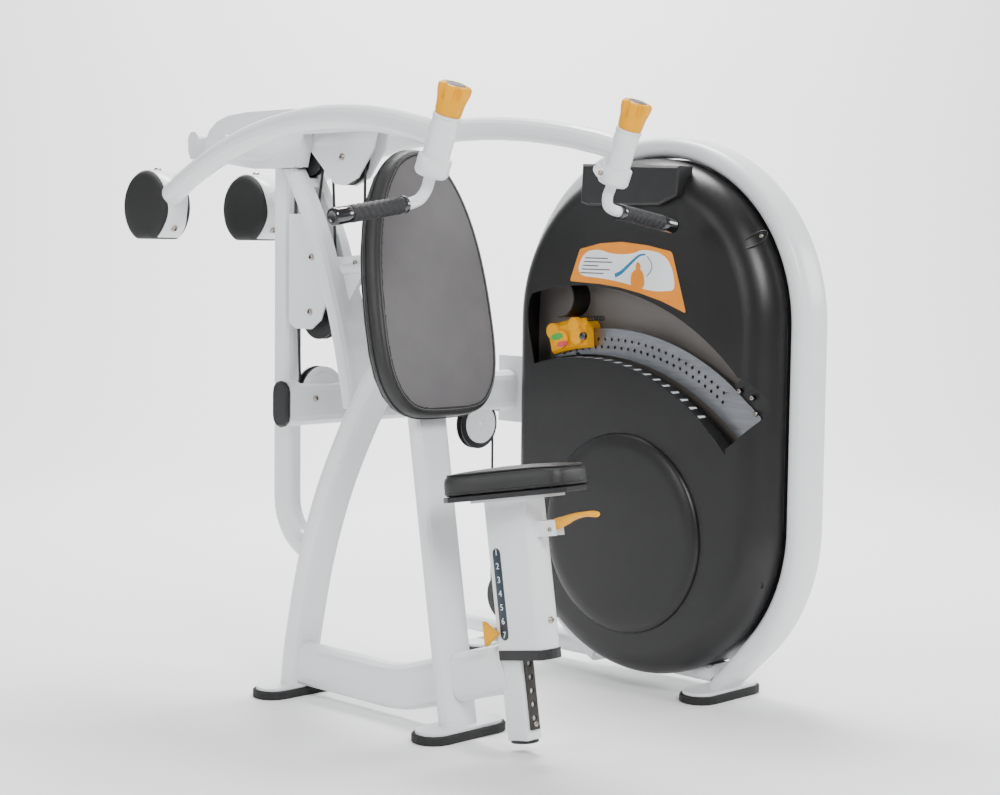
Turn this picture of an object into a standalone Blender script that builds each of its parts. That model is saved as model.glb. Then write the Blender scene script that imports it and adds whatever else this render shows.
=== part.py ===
"""Seated shoulder press machine, in metres.

The user sits facing -Y with the weight tower on the left, at +X. Z is up and the floor is z = 0.
The origin is on the floor under the front column, in the machine's centre plane X = 0.
"""

import math

import bmesh
import bpy
from mathutils import Vector

# ---- driving dimensions -------------------------------------------------------------------
GAP = 0.0003                    # clearance between touching pieces
FLOOR_PAD = 0.020               # thickness of the rubber feet
FOOT_LENGTH = 0.262             # along X
FOOT_WIDTH = 0.102              # along Y
FOOT_PLATE = 0.007

FRAME_WIDTH = 0.100             # oval frame tube, across X
FRAME_DEPTH = 0.050             # oval frame tube, in the centre plane
RAIL_WIDTH = 0.055              # rail and beam tube, its thin way
RAIL_HEIGHT = 0.112
RAIL_WALL = 0.004

LEAN = math.radians(9.3)        # backward lean of the column and seat post
REAR_FOOT_Y = 0.585
BEAM_Y = 0.570
BEAM_Z = 0.729
BEAM_START_X = -0.062
BEAM_END_X = 0.728

PIVOT = Vector((0.0, 0.640, 1.352))         # press arm axis, along X
ARM_RADIUS = 0.028
ARM_BEND = 1.540                            # radius of the arm's long curve
ARM_TOP_Y = 0.200
ARM_TOP_Z = 1.403
ARM_REAR_Y = 0.895
ARM_FRONT_Y = -0.222
ARM_SPREAD_REAR = 0.169                     # half distance between the arms, rear end
ARM_SPREAD_FRONT = 0.282

HUB_TILT = math.radians(22.0)
HUB_CENTRE = Vector((ARM_SPREAD_FRONT, -0.225, 1.351))
HUB_RADIUS = 0.029

PULLEY_GROOVE = 0.060                       # radius of the cable's centre line on a pulley
PULLEY_RIM = 0.067
PULLEY_WIDTH = 0.020
CABLE_RADIUS = 0.0035

ARM_PULLEY = Vector((0.0, 0.402, 1.330))
MID_PULLEY = Vector((0.0, 0.502, 0.957))
TOP_PULLEY = Vector((0.0, 0.550, 1.352))
BEAM_PULLEY = Vector((0.050, BEAM_Y, 0.752))
DROP_PULLEY = Vector((0.602, BEAM_Y, 0.643))
LOW_PULLEY = Vector((0.668, 0.512, 0.170))
CABLE_END_Z = 1.115
AXLE_RADIUS = 0.0077
PULLEY_BORE = 0.0080

SEAT_ORIGIN = Vector((0.0, -0.213, 0.020))
POST_WIDTH = 0.046
POST_DEPTH = 0.065
POST_LENGTH = 0.350
CARRIAGE_HALF = 0.033
CARRIAGE_REAR = -0.019
CARRIAGE_FRONT = 0.118
CARRIAGE_BOTTOM = 0.213
CARRIAGE_TOP = 0.545
CARRIAGE_WALL = 0.004

BACK_LEAN = math.radians(11.1)
BACK_BOTTOM = Vector((0.0, 0.0598, 0.729))  # middle of the pad's thickness, at its lowest point
BACK_THICKNESS = 0.058
BACK_LENGTH = 0.625
BACK_BOARD = 0.009                          # thickness of the board behind the pad

TOWER_X = 0.750
TOWER_Y = 0.030
HOOP_RADIUS = 0.442                         # centre line of the hoop's round ends
HOOP_LOW_Z = 0.452
HOOP_HIGH_Z = 0.934
HOOP_THICK = 0.054
HOOP_WIDTH = 0.104
HOOP_FOOT_TURN = 222.0                      # where the hoop's front end leaves its round for the foot
TOWER_RAIL_Z = 0.0625
TOWER_RAIL_HEIGHT = 0.045
TOWER_RAIL_WIDTH = 0.090
TOWER_FOOT_FRONT_Y = -0.165
TOWER_FOOT_REAR_Y = 0.620
SHROUD_RADIUS = 0.4125
SHROUD_FACE_X = 0.620
SHROUD_BACK_X = 0.7035
SHROUD_ROUND = 0.072
SHROUD_WALL = 0.005
LINER_BOTTOM = 0.088                        # the liner and outer cover stop just above the base rail
BULGE = (0.060, 0.400, 0.255)               # y, z and radius of the weight bulge

WINDOW_TOP_ARC = (0.200, 0.320, 0.705)      # y, z, radius
WINDOW_LOW_ARC = (0.200, 0.220, 0.620)
RAIL_ARC = (0.150, 0.235, 0.680)            # upper edge of the selector rail
RAIL_LOW_ARC = (0.200, 0.156, 0.690)
RAIL_X = 0.672
RAIL_PLATE = 0.005

# ---- directions ---------------------------------------------------------------------------
X_AXIS = Vector((1.0, 0.0, 0.0))
Y_AXIS = Vector((0.0, 1.0, 0.0))
Z_AXIS = Vector((0.0, 0.0, 1.0))
POST_UP = Vector((0.0, math.sin(LEAN), math.cos(LEAN)))
POST_FORWARD = Vector((0.0, -math.cos(LEAN), math.sin(LEAN)))
BACK_UP = Vector((0.0, math.sin(BACK_LEAN), math.cos(BACK_LEAN)))
BACK_FORWARD = Vector((0.0, -math.cos(BACK_LEAN), math.sin(BACK_LEAN)))
HUB_UP = Vector((0.0, -math.sin(HUB_TILT), math.cos(HUB_TILT)))

# ---- materials ----------------------------------------------------------------------------
FINISHES = {
    "white_paint": ((0.83, 0.84, 0.85), 0.35, 0.0),
    "black_rubber": ((0.02, 0.02, 0.02), 0.75, 0.0),
    "black_plastic": ((0.03, 0.03, 0.032), 0.40, 0.0),
    "smoked_plastic": ((0.05, 0.05, 0.055), 0.30, 0.0),
    "grey_liner": ((0.22, 0.21, 0.20), 0.60, 0.0),
    "yellow_plastic": ((0.95, 0.66, 0.04), 0.35, 0.0),
    "black_vinyl": ((0.025, 0.025, 0.027), 0.50, 0.0),
    "steel": ((0.55, 0.55, 0.56), 0.35, 1.0),
    "grip_rubber": ((0.05, 0.05, 0.055), 0.65, 0.0),
    "cable": ((0.02, 0.02, 0.02), 0.50, 0.0),
}


def finish(name):
    """The material called name, made the first time it is asked for."""
    if name in bpy.data.materials:
        return bpy.data.materials[name]
    colour, roughness, metallic = FINISHES[name]
    material = bpy.data.materials.new(name)
    material.use_nodes = True
    shader = material.node_tree.nodes["Principled BSDF"]
    shader.inputs["Base Color"].default_value = (*colour, 1.0)
    shader.inputs["Roughness"].default_value = roughness
    shader.inputs["Metallic"].default_value = metallic
    return material


# ---- shapes -------------------------------------------------------------------------------
def loft(name, rings, material, closed=False):
    """A solid through rings of equal length; closed joins the last ring to the first."""
    shape = bmesh.new()
    loops = [[shape.verts.new(point) for point in ring] for ring in rings]
    pairs = list(zip(loops, loops[1:]))
    if closed:
        pairs.append((loops[-1], loops[0]))
    for low, high in pairs:
        for index in range(len(low)):
            following = (index + 1) % len(low)
            shape.faces.new((low[index], low[following], high[following], high[index]))
    if not closed:
        shape.faces.new(loops[0])
        shape.faces.new(loops[-1])
    bmesh.ops.recalc_face_normals(shape, faces=shape.faces)
    mesh = bpy.data.meshes.new(name)
    shape.to_mesh(mesh)
    shape.free()
    mesh.shade_smooth()
    mesh.set_sharp_from_angle(angle=math.radians(35.0))
    piece = bpy.data.objects.new(name, mesh)
    bpy.context.collection.objects.link(piece)
    mesh.materials.append(finish(material))
    return piece


def as_cutter(piece):
    """Marks a solid as a Boolean operand that is not a piece of the machine."""
    piece.hide_render = True
    piece.display_type = "WIRE"
    return piece


def boolean(piece, other, operation="DIFFERENCE"):
    """Adds an exact Boolean to piece, with other as its operand."""
    as_cutter(other)
    step = piece.modifiers.new(operation.title(), "BOOLEAN")
    step.operation = operation
    step.object = other
    return piece


def cut(piece, *others):
    for other in others:
        boolean(piece, other)
    return piece


def join(piece, *others):
    for other in others:
        boolean(piece, other, "UNION")
    return piece


def rounded_rectangle(width, depth, radius, steps=3):
    """Points (across, along) of a rectangle with rounded corners, counter-clockwise."""
    points = []
    for corner, (sign_a, sign_b) in enumerate(((1, 1), (-1, 1), (-1, -1), (1, -1))):
        for step in range(steps + 1):
            angle = math.radians(90.0 * (corner + step / steps))
            across = sign_a * (width / 2 - radius) + radius * math.cos(angle)
            along = sign_b * (depth / 2 - radius) + radius * math.sin(angle)
            points.append((across, along))
    return points


def circle(radius, sides=16):
    return [
        (radius * math.cos(2 * math.pi * side / sides), radius * math.sin(2 * math.pi * side / sides))
        for side in range(sides)
    ]


def sweep_rings(path, profile, side, start_normal=None, end_normal=None):
    """Rings of a profile carried along path; side is the profile's first axis at the start."""
    rings = []
    for index, point in enumerate(path):
        before = path[max(index - 1, 0)]
        after = path[min(index + 1, len(path) - 1)]
        tangent = (after - before).normalized()
        side = (side - tangent * side.dot(tangent)).normalized()
        along = tangent.cross(side)
        ring = [point + side * a + along * b for a, b in profile]
        normal = None
        if index == 0:
            normal = start_normal
        elif index == len(path) - 1:
            normal = end_normal
        if normal is not None:
            ring = [p - tangent * ((p - point).dot(normal) / tangent.dot(normal)) for p in ring]
        rings.append(ring)
    return rings


def tube(name, path, profile, material, side=X_AXIS, **ends):
    return loft(name, sweep_rings(path, profile, side, **ends), material)


def plate(name, outline, thickness, origin, u_axis, v_axis, material, bevel=0.0):
    """A flat plate: outline is points (u, v), thickness runs along u x v from origin."""
    normal = u_axis.cross(v_axis).normalized()
    outline = counter_clockwise(outline)

    def ring(points, height):
        return [origin + u_axis * u + v_axis * v + normal * height for u, v in points]

    if bevel <= 0.0:
        return loft(name, [ring(outline, 0.0), ring(outline, thickness)], material)
    small = shrink(outline, bevel)
    rings = [
        ring(small, 0.0),
        ring(outline, bevel),
        ring(outline, thickness - bevel),
        ring(small, thickness),
    ]
    return loft(name, rings, material)


def counter_clockwise(outline):
    area = sum(a[0] * b[1] - b[0] * a[1] for a, b in zip(outline, outline[1:] + outline[:1]))
    return outline if area > 0.0 else outline[::-1]


def shrink(outline, distance):
    """The outline moved inwards by distance."""
    outline = counter_clockwise(outline)
    moved = []
    count = len(outline)
    for index in range(count):
        before = Vector(outline[index - 1])
        here = Vector(outline[index])
        after = Vector(outline[(index + 1) % count])
        inward_a = (here - before).orthogonal().normalized()
        inward_b = (after - here).orthogonal().normalized()
        inward = (inward_a + inward_b) / 2
        if inward.length > 1e-6:
            inward = inward / max(inward.length_squared, 0.35)
        moved.append(tuple(here + inward * distance))
    return moved


def disc(name, profile, centre, axis, material, sides=24, closed=False):
    """A turned piece: profile is points (radius, height along axis).

    The ends are closed flat, or with closed the profile is a loop round a bore.
    """
    side = axis.orthogonal().normalized()
    other = axis.cross(side).normalized()
    rings = [
        [centre + axis * height + side * a + other * b for a, b in circle(radius, sides)]
        for radius, height in profile
    ]
    return loft(name, rings, material, closed)


def rod(name, start, end, radius, material, sides=16):
    axis = (end - start).normalized()
    length = (end - start).length
    return disc(name, [(radius, 0.0), (radius, length)], start, axis, material, sides)


def block(name, low, high, material, bevel=0.0):
    """A box between two corners."""
    outline = [(low[1], low[2]), (high[1], low[2]), (high[1], high[2]), (low[1], high[2])]
    return plate(name, outline, high[0] - low[0], X_AXIS * low[0], Y_AXIS, Z_AXIS, material, bevel)


def arc(centre_y, centre_z, radius, start, end, steps, x=0.0):
    """Points on a circle in the YZ plane; angles in degrees from +Y towards +Z."""
    points = []
    for step in range(steps + 1):
        angle = math.radians(start + (end - start) * step / steps)
        points.append(Vector((x, centre_y + radius * math.cos(angle), centre_z + radius * math.sin(angle))))
    return points


def smooth_path(points, steps):
    """A Catmull-Rom curve through points, steps pieces between each pair."""
    ends = [points[0] * 2 - points[1]] + points + [points[-1] * 2 - points[-2]]
    path = []
    for index in range(1, len(ends) - 2):
        p0, p1, p2, p3 = ends[index - 1:index + 3]
        for step in range(steps):
            t = step / steps
            path.append(
                0.5 * (2 * p1 + (p2 - p0) * t + (2 * p0 - 5 * p1 + 4 * p2 - p3) * t * t
                       + (3 * p1 - p0 - 3 * p2 + p3) * t * t * t)
            )
    path.append(points[-1])
    return path


def in_plane(*pairs):
    """Centre-plane points from (y, z) pairs."""
    return [Vector((0.0, y, z)) for y, z in pairs]


def stadium(half_length, radius, steps=8):
    """Points (u, v) of a stadium whose long way is u."""
    points = []
    for centre, start in ((half_length - radius, -90.0), (radius - half_length, 90.0)):
        for step in range(steps + 1):
            angle = math.radians(start + 180.0 * step / steps)
            points.append((centre + radius * math.cos(angle), radius * math.sin(angle)))
    return points


# ---- feet ---------------------------------------------------------------------------------
FEET = {
    "front_foot_pad": (0.0, 0.0),
    "rear_foot_pad": (0.0, REAR_FOOT_Y),
    "tower_front_foot_pad": (TOWER_X, TOWER_FOOT_FRONT_Y),
    "tower_rear_foot_pad": (TOWER_X, TOWER_FOOT_REAR_Y),
}


def foot_pad(name, x, y):
    outline = stadium(FOOT_LENGTH / 2, FOOT_WIDTH / 2)
    return plate(name, outline, FLOOR_PAD, Vector((x, y, 0.0)), X_AXIS, Y_AXIS, "black_rubber", 0.002)


def foot_plate(x, y):
    """The steel plate on a rubber foot, welded to the tube above it."""
    outline = stadium(FOOT_LENGTH / 2 - 0.008, FOOT_WIDTH / 2 - 0.008)
    base = Vector((x, y, FLOOR_PAD + GAP))
    return plate("foot_plate_tool", outline, FOOT_PLATE, base, X_AXIS, Y_AXIS, "white_paint")


# ---- centre frame -------------------------------------------------------------------------
COLUMN_TOP = 0.935
FOOT_TOP = FLOOR_PAD + 0.003
COLUMN_PATH = [Vector((0.0, math.tan(LEAN) * z, z)) for z in (FOOT_TOP, 0.35, 0.65, COLUMN_TOP)]
LEG_PATH = smooth_path(
    in_plane((REAR_FOOT_Y, FOOT_TOP), (0.571, 0.120), (0.548, 0.225), (0.521, 0.331), (0.485, 0.436),
             (0.440, 0.541), (0.384, 0.645), (0.322, 0.745), (0.245, 0.840), (0.158, 0.918)), 2)
UPPER_PATH = smooth_path(
    in_plane((0.348, 0.735), (0.368, 0.820), (0.398, 0.930), (0.430, 1.020), (0.468, 1.120),
             (0.520, 1.215), (0.577, 1.305)), 2)
UPRIGHT_PATH = (
    in_plane((0.632, 1.305), (0.632, 1.100), (0.632, 0.850), (0.632, 0.620))
    + arc(0.510, 0.490, 0.122, 0.0, -68.0, 6)
    + in_plane((0.526, 0.365))
)
RAIL_BEND_Y = 0.190
RAIL_SLOPE = math.radians(17.0)
RAIL_CENTRE_Z = 0.077


def rail_point(y):
    """Centre line of the base rail, which rises forward of its bend."""
    bend = 0.060
    if y >= RAIL_BEND_Y + bend:
        return Vector((0.0, y, RAIL_CENTRE_Z))
    if y <= RAIL_BEND_Y - bend:
        rise = (RAIL_BEND_Y - y) * math.tan(RAIL_SLOPE)
        return Vector((0.0, y, RAIL_CENTRE_Z + rise))
    part = (RAIL_BEND_Y + bend - y) / (2 * bend)
    return Vector((0.0, y, RAIL_CENTRE_Z + bend * math.tan(RAIL_SLOPE) * part * part))


def frame_profile(grow=0.0):
    return rounded_rectangle(FRAME_WIDTH + 2 * grow, FRAME_DEPTH + 2 * grow, 0.022 + grow)


def rail_profile(grow=0.0):
    return rounded_rectangle(RAIL_WIDTH + 2 * grow, RAIL_HEIGHT + 2 * grow, 0.026 + grow)


def upright_profile(grow=0.0):
    return rounded_rectangle(0.056 + 2 * grow, 0.062 + 2 * grow, 0.020 + grow)


def column_tool(grow=GAP):
    path = [Vector((0.0, math.tan(LEAN) * z, z)) for z in (-0.05, 0.35, 0.65, COLUMN_TOP + 0.05)]
    return tube("column_tool", path, frame_profile(grow), "white_paint")


def leg_tool(grow=GAP):
    return tube("leg_tool", LEG_PATH, frame_profile(grow), "white_paint")


def build_column():
    column = tube("front_column", COLUMN_PATH, frame_profile(), "white_paint", start_normal=Z_AXIS)
    join(column, foot_plate(0.0, 0.0))
    behind = BACK_THICKNESS / 2 + BACK_BOARD + 2 * GAP
    behind_pad = plate("back_face_tool", [(-0.12, -0.05), (0.12, -0.05), (0.12, 0.40), (-0.12, 0.40)], 0.10,
                       BACK_BOTTOM - BACK_FORWARD * behind, X_AXIS, BACK_UP, "white_paint")
    cut(column, behind_pad)


def build_rear_leg():
    leg = tube("rear_leg", LEG_PATH, frame_profile(), "white_paint", start_normal=Z_AXIS)
    join(leg, foot_plate(0.0, REAR_FOOT_Y))
    cut(leg, column_tool())


def build_upper_column():
    """The column that leans back from the rear leg to the pivot head, with the cable's anchor lug."""
    column = tube("upper_column", UPPER_PATH, frame_profile(), "white_paint", end_normal=Z_AXIS)
    lug = plate("lug_tool", [(0.440, 1.000), (0.412, 1.092), (0.338, 1.098), (0.332, 1.066), (0.392, 0.985)],
                0.012, X_AXIS * -0.006, Y_AXIS, Z_AXIS, "white_paint")
    join(column, lug)
    slot = plate("slot_tool", [(0.428, 0.950), (0.520, 0.940), (0.610, 1.185), (0.485, 1.290), (0.400, 1.140),
                               (0.430, 1.112)], 0.022, X_AXIS * -0.011, Y_AXIS, Z_AXIS, "white_paint")
    pulley_room = rod("pulley_tool", TOP_PULLEY - X_AXIS * 0.014, TOP_PULLEY + X_AXIS * 0.014,
                      PULLEY_RIM + 0.006,
                      "white_paint", 32)
    cut(column, leg_tool(), slot, cable_groove(), pulley_room)


def cable_groove():
    """The groove down the front of the upright for the strand behind the top pulley."""
    return block("groove_tool", (-0.006, 0.590, 1.110), (0.006, 0.6165, 1.330), "white_paint")


def build_upright():
    upright = tube("rear_upright", UPRIGHT_PATH, upright_profile(), "white_paint", start_normal=Z_AXIS)
    upper = tube("upper_tool", UPPER_PATH, frame_profile(GAP), "white_paint", end_normal=Z_AXIS)
    cut(upright, leg_tool(), upper, cable_groove())


def build_base_rail():
    ys = (0.560, 0.400, 0.270, 0.250, 0.220, 0.190, 0.160, 0.130, 0.110, 0.060, 0.020)
    rail = tube("base_rail", [rail_point(y) for y in ys], rail_profile(), "white_paint")
    foot_room = plate("foot_tool", stadium(FOOT_LENGTH / 2 + GAP, FOOT_WIDTH / 2 + GAP),
                      FLOOR_PAD + FOOT_PLATE + 3 * GAP, Y_AXIS * REAR_FOOT_Y, X_AXIS, Y_AXIS, "white_paint")
    cut(rail, leg_tool(), column_tool(), foot_room)


def build_post_stub():
    ys = (0.000, -0.060, -0.120, -0.165)
    stub = tube("seat_post_stub", [rail_point(y) for y in ys], rail_profile(), "white_paint")
    cut(stub, column_tool(), post_solid("post_tool", GAP, -0.02, POST_LENGTH + 0.02))


def hollow_tube(name, path, profile, inner_profile, material, side):
    """An open-ended tube: an outer skin joined to an inner one at both ends."""
    outer = sweep_rings(path, profile, side)
    inner = sweep_rings(path, inner_profile, side)
    return loft(name, outer + inner[::-1], material, closed=True)


def build_beam():
    """The lateral beam, slotted for two pulleys, with its tower flange and end cap."""
    path = [Vector((x, BEAM_Y, BEAM_Z)) for x in (BEAM_START_X, BEAM_END_X)]
    inner = rounded_rectangle(RAIL_WIDTH - 2 * RAIL_WALL, RAIL_HEIGHT - 2 * RAIL_WALL, 0.022)
    beam = hollow_tube("lateral_beam", path, rail_profile(), inner, "white_paint", Y_AXIS)
    half_slot = 0.017
    for pulley, low, high in ((BEAM_PULLEY, BEAM_Z + 0.02, 0.90), (DROP_PULLEY, 0.50, BEAM_Z - 0.02)):
        reach = PULLEY_RIM + 0.008
        slot = block("slot_tool", (pulley.x - reach, BEAM_Y - half_slot, low),
                     (pulley.x + reach, BEAM_Y + half_slot, high), "white_paint")
        cut(beam, slot)
        for low_y, high_y in ((BEAM_Y - 0.0185, BEAM_Y - 0.0125), (BEAM_Y + 0.0125, BEAM_Y + 0.0185)):
            guard = disc("guard_tool", [(0.052, 0.0), (0.052, high_y - low_y)],
                         Vector((pulley.x, low_y, pulley.z)), Y_AXIS, "white_paint")
            join(beam, guard)
        axle = rod("axle_tool", pulley - Y_AXIS * 0.0255, pulley + Y_AXIS * 0.0255, AXLE_RADIUS,
                   "white_paint")
        join(beam, axle)
    plate("beam_end_cap", rounded_rectangle(RAIL_WIDTH + 0.003, RAIL_HEIGHT + 0.003, 0.028), 0.014,
          Vector((BEAM_START_X - GAP - 0.014, BEAM_Y, BEAM_Z)), Y_AXIS, Z_AXIS, "black_plastic", 0.004)


def build_tower_flange():
    """Joins the beam's end to the back of the hoop."""
    hoop_back = TOWER_Y + HOOP_RADIUS + HOOP_THICK / 2
    flange = block("tower_flange", (BEAM_END_X + GAP, hoop_back + GAP, 0.642),
                   (BEAM_END_X + 0.012, BEAM_Y + 0.045, 0.824), "white_paint", 0.001)
    web = block("web_tool", (BEAM_END_X + 0.010, hoop_back + GAP, 0.660),
                (BEAM_END_X + 0.060, hoop_back + 0.012, 0.806), "white_paint")
    join(flange, web)


def build_pivot_head():
    """Two ears on top of the upright that carry the press arms' shaft."""
    ear = [(0.527, 1.3065), (0.668, 1.3065), (0.672, 1.372), (0.655, 1.386), (0.625, 1.386), (0.600, 1.380),
           (0.560, 1.380), (0.527, 1.366)]
    head = plate("pivot_head", ear, 0.010, X_AXIS * -0.050, Y_AXIS, Z_AXIS, "white_paint")
    other = plate("ear_tool", ear, 0.010, X_AXIS * 0.040, Y_AXIS, Z_AXIS, "white_paint")
    base = block("base_tool", (-0.050, 0.625, 1.3065), (0.050, 0.668, 1.3165), "white_paint")
    bore = rod("bore_tool", PIVOT - X_AXIS * 0.08, PIVOT + X_AXIS * 0.08, 0.0125 + GAP, "steel")
    axle = rod("axle_tool", TOP_PULLEY - X_AXIS * 0.045, TOP_PULLEY + X_AXIS * 0.045, AXLE_RADIUS,
               "white_paint")
    join(head, other, base, axle)
    cut(head, bore)
    rod("pivot_shaft", PIVOT - X_AXIS * 0.150, PIVOT + X_AXIS * 0.150, 0.0125, "steel")


def build_pulley_bracket():
    """Two side plates behind the upper column that hold the mid pulley."""
    outline = [(0.585, 1.195), (0.585, 0.930), (0.562, 0.915), (0.500, 0.915), (0.464, 0.938), (0.440, 0.990),
               (0.445, 1.080), (0.480, 1.150), (0.540, 1.195)]
    bracket = plate("pulley_bracket", outline, 0.005, X_AXIS * -0.035, Y_AXIS, Z_AXIS, "white_paint")
    other = plate("bracket_tool", outline, 0.005, X_AXIS * 0.030, Y_AXIS, Z_AXIS, "white_paint")
    axle = rod("axle_tool", MID_PULLEY - X_AXIS * 0.0325, MID_PULLEY + X_AXIS * 0.0325, AXLE_RADIUS,
               "white_paint")
    spacer_place = Vector((0.0, 0.508, 1.085))
    spacer = rod("spacer_tool", spacer_place - X_AXIS * 0.0325, spacer_place + X_AXIS * 0.0325, 0.008,
                 "white_paint")
    join(bracket, other, axle, spacer)
    upper = tube("upper_tool", UPPER_PATH, frame_profile(GAP), "white_paint", end_normal=Z_AXIS)
    cut(bracket, upper)


# ---- pulleys and cable --------------------------------------------------------------------
def pulley(name, centre, axis):
    """A grooved wheel whose groove floor clears the cable."""
    half = PULLEY_WIDTH / 2
    floor = PULLEY_GROOVE - CABLE_RADIUS - 0.001
    profile = [(PULLEY_BORE, -half), (PULLEY_RIM, -half), (PULLEY_RIM, -half + 0.003), (floor, -0.0042),
               (floor, 0.0042), (PULLEY_RIM, half - 0.003), (PULLEY_RIM, half), (PULLEY_BORE, half)]
    disc(name, profile, centre, axis, "black_plastic", 32, closed=True)


def build_pulleys():
    pulley("arm_pulley", ARM_PULLEY, X_AXIS)
    pulley("mid_pulley", MID_PULLEY, X_AXIS)
    pulley("top_pulley", TOP_PULLEY, X_AXIS)
    pulley("beam_pulley", BEAM_PULLEY, Y_AXIS)
    pulley("drop_pulley", DROP_PULLEY, Y_AXIS)
    pulley("low_pulley", LOW_PULLEY, X_AXIS)
    pulley("guide_pulley", Vector((LOW_PULLEY.x, RAIL_ARC[0], RAIL_ARC[1])), X_AXIS)


def around(centre, u_axis, v_axis, start, end, steps):
    """Points on a pulley's groove, with angles in degrees from u_axis towards v_axis."""
    points = []
    for step in range(steps + 1):
        angle = math.radians(start + (end - start) * step / steps)
        points.append(centre + (u_axis * math.cos(angle) + v_axis * math.sin(angle)) * PULLEY_GROOVE)
    return points


def cable(name, path):
    """A plain round cable along path."""
    tube(name, path, circle(CABLE_RADIUS, 8), "cable", side=Vector((0.94, 0.34, 0.0)))


def straight(start, end, steps):
    return [start.lerp(end, step / steps) for step in range(steps + 1)]


SELECTOR_ANGLE = 10.8                       # rest place along the rail arc, from straight up
SELECTOR_SPAN = 11.2                        # degrees of the arc that the selector covers
SELECTOR_FOOT = 0.624                       # radius where the cable meets the selector


def crossing_angle(first, second):
    """The heading from one pulley to another and the turn a cable makes to cross between them."""
    run = (second - first).length
    heading = math.degrees(math.atan2(second[1] - first[1], second[0] - first[0]))
    return heading, math.degrees(math.asin(2 * PULLEY_GROOVE / run))


def build_cable():
    """The cable from the anchor lug to the selector, in the stretches that move together."""
    split = 0.0008
    side = Y_AXIS
    loop = around(ARM_PULLEY, side, Z_AXIS, 180.0, 0.0, 14)
    cable("cable_arm_loop", loop)
    cable("cable_front_strand", straight(Vector((0.0, loop[0].y, CABLE_END_Z)), loop[0] - Z_AXIS * split, 6))
    rear_low = MID_PULLEY - Y_AXIS * PULLEY_GROOVE
    cable("cable_rear_strand", straight(rear_low + Z_AXIS * split, loop[-1] - Z_AXIS * split, 8))

    heading, turn = crossing_angle(MID_PULLEY.yz, TOP_PULLEY.yz)
    leave = heading + turn - 90.0
    main = around(MID_PULLEY, side, Z_AXIS, -180.0, leave, 12)
    main += around(TOP_PULLEY, side, Z_AXIS, leave + 180.0, 0.0, 12)
    main += straight(Vector((0.0, TOP_PULLEY.y + PULLEY_GROOVE, TOP_PULLEY.z)),
                     BEAM_PULLEY - X_AXIS * PULLEY_GROOVE, 8)[1:-1]
    heading, turn = crossing_angle(BEAM_PULLEY.xz, DROP_PULLEY.xz)
    leave = heading + turn - 90.0
    main += around(BEAM_PULLEY, X_AXIS, Z_AXIS, -180.0, leave, 6)
    main += around(DROP_PULLEY, X_AXIS, Z_AXIS, leave + 180.0, 0.0, 6)
    low_top = LOW_PULLEY + Y_AXIS * PULLEY_GROOVE
    main += straight(Vector((DROP_PULLEY.x + PULLEY_GROOVE, BEAM_Y, DROP_PULLEY.z)), low_top, 6)[1:-1]
    guide = Vector((LOW_PULLEY.x, RAIL_ARC[0], RAIL_ARC[1]))
    slope = math.degrees(math.atan2(guide.z - LOW_PULLEY.z, LOW_PULLEY.y - guide.y))
    rise = SELECTOR_ANGLE + math.degrees(math.asin(PULLEY_GROOVE / SELECTOR_FOOT))
    main += around(LOW_PULLEY, Y_AXIS, Z_AXIS, 0.0, -90.0 - slope, 7)
    main += around(guide, Y_AXIS, Z_AXIS, -90.0 - slope, -180.0 - rise, 7)
    cable("cable_main", main)

    angle = math.radians(SELECTOR_ANGLE)
    top = guide + (Y_AXIS * math.sin(angle) + Z_AXIS * math.cos(angle)) * SELECTOR_FOOT
    start = main[-1]
    cable("cable_selector_strand", straight(start.lerp(top, 0.004), top, 6))


# ---- seat ---------------------------------------------------------------------------------
def on_post(x, forward, up):
    return SEAT_ORIGIN + X_AXIS * x + POST_FORWARD * forward + POST_UP * up


def post_plate(name, outline, low, high, material, bevel=0.0):
    """A plate across the post: outline is points (forward, x), from low to high up the post."""
    base = on_post(0.0, 0.0, low)
    return plate(name, outline, high - low, base, POST_FORWARD, X_AXIS, material, bevel)


def post_solid(name, grow, low, high):
    outline = rounded_rectangle(POST_DEPTH + 2 * grow, POST_WIDTH + 2 * grow, 0.005 + grow)
    return post_plate(name, outline, low, high, "white_paint")


def build_post():
    post_solid("seat_post", 0.0, 0.012, POST_LENGTH)
    front = POST_DEPTH / 2 + GAP
    rack = block_on_post("seat_rack", (front, -0.013, 0.034), (front + 0.006, 0.013, 0.335), "steel")
    for index in range(9):
        up = 0.060 + 0.030 * index
        hole = rod("rack_tool", on_post(0.0, front - 0.001, up), on_post(0.0, front + 0.008, up), 0.007,
                   "steel", 10)
        cut(rack, hole)


def block_on_post(name, low, high, material, bevel=0.0):
    """A box in the post's frame: corners as (forward, x, up)."""
    outline = [(low[0], low[1]), (high[0], low[1]), (high[0], high[1]), (low[0], high[1])]
    return post_plate(name, outline, low[2], high[2], material, bevel)


def carriage_outline(grow):
    """The carriage's U seen along the post: open at the rear, round at the front."""
    half = CARRIAGE_HALF + grow
    front = CARRIAGE_FRONT + grow
    nose = 0.018
    points = [(CARRIAGE_REAR, -half), (front - nose, -half)]
    for step in range(1, 7):
        angle = math.radians(-90.0 + 180.0 * step / 7)
        points.append((front - nose + nose * math.cos(angle), half * math.sin(angle)))
    points += [(front - nose, half), (CARRIAGE_REAR, half)]
    return points


def u_channel(name, outer, inner, low, high, material):
    return post_plate(name, outer + inner[::-1], low, high, material)


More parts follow.
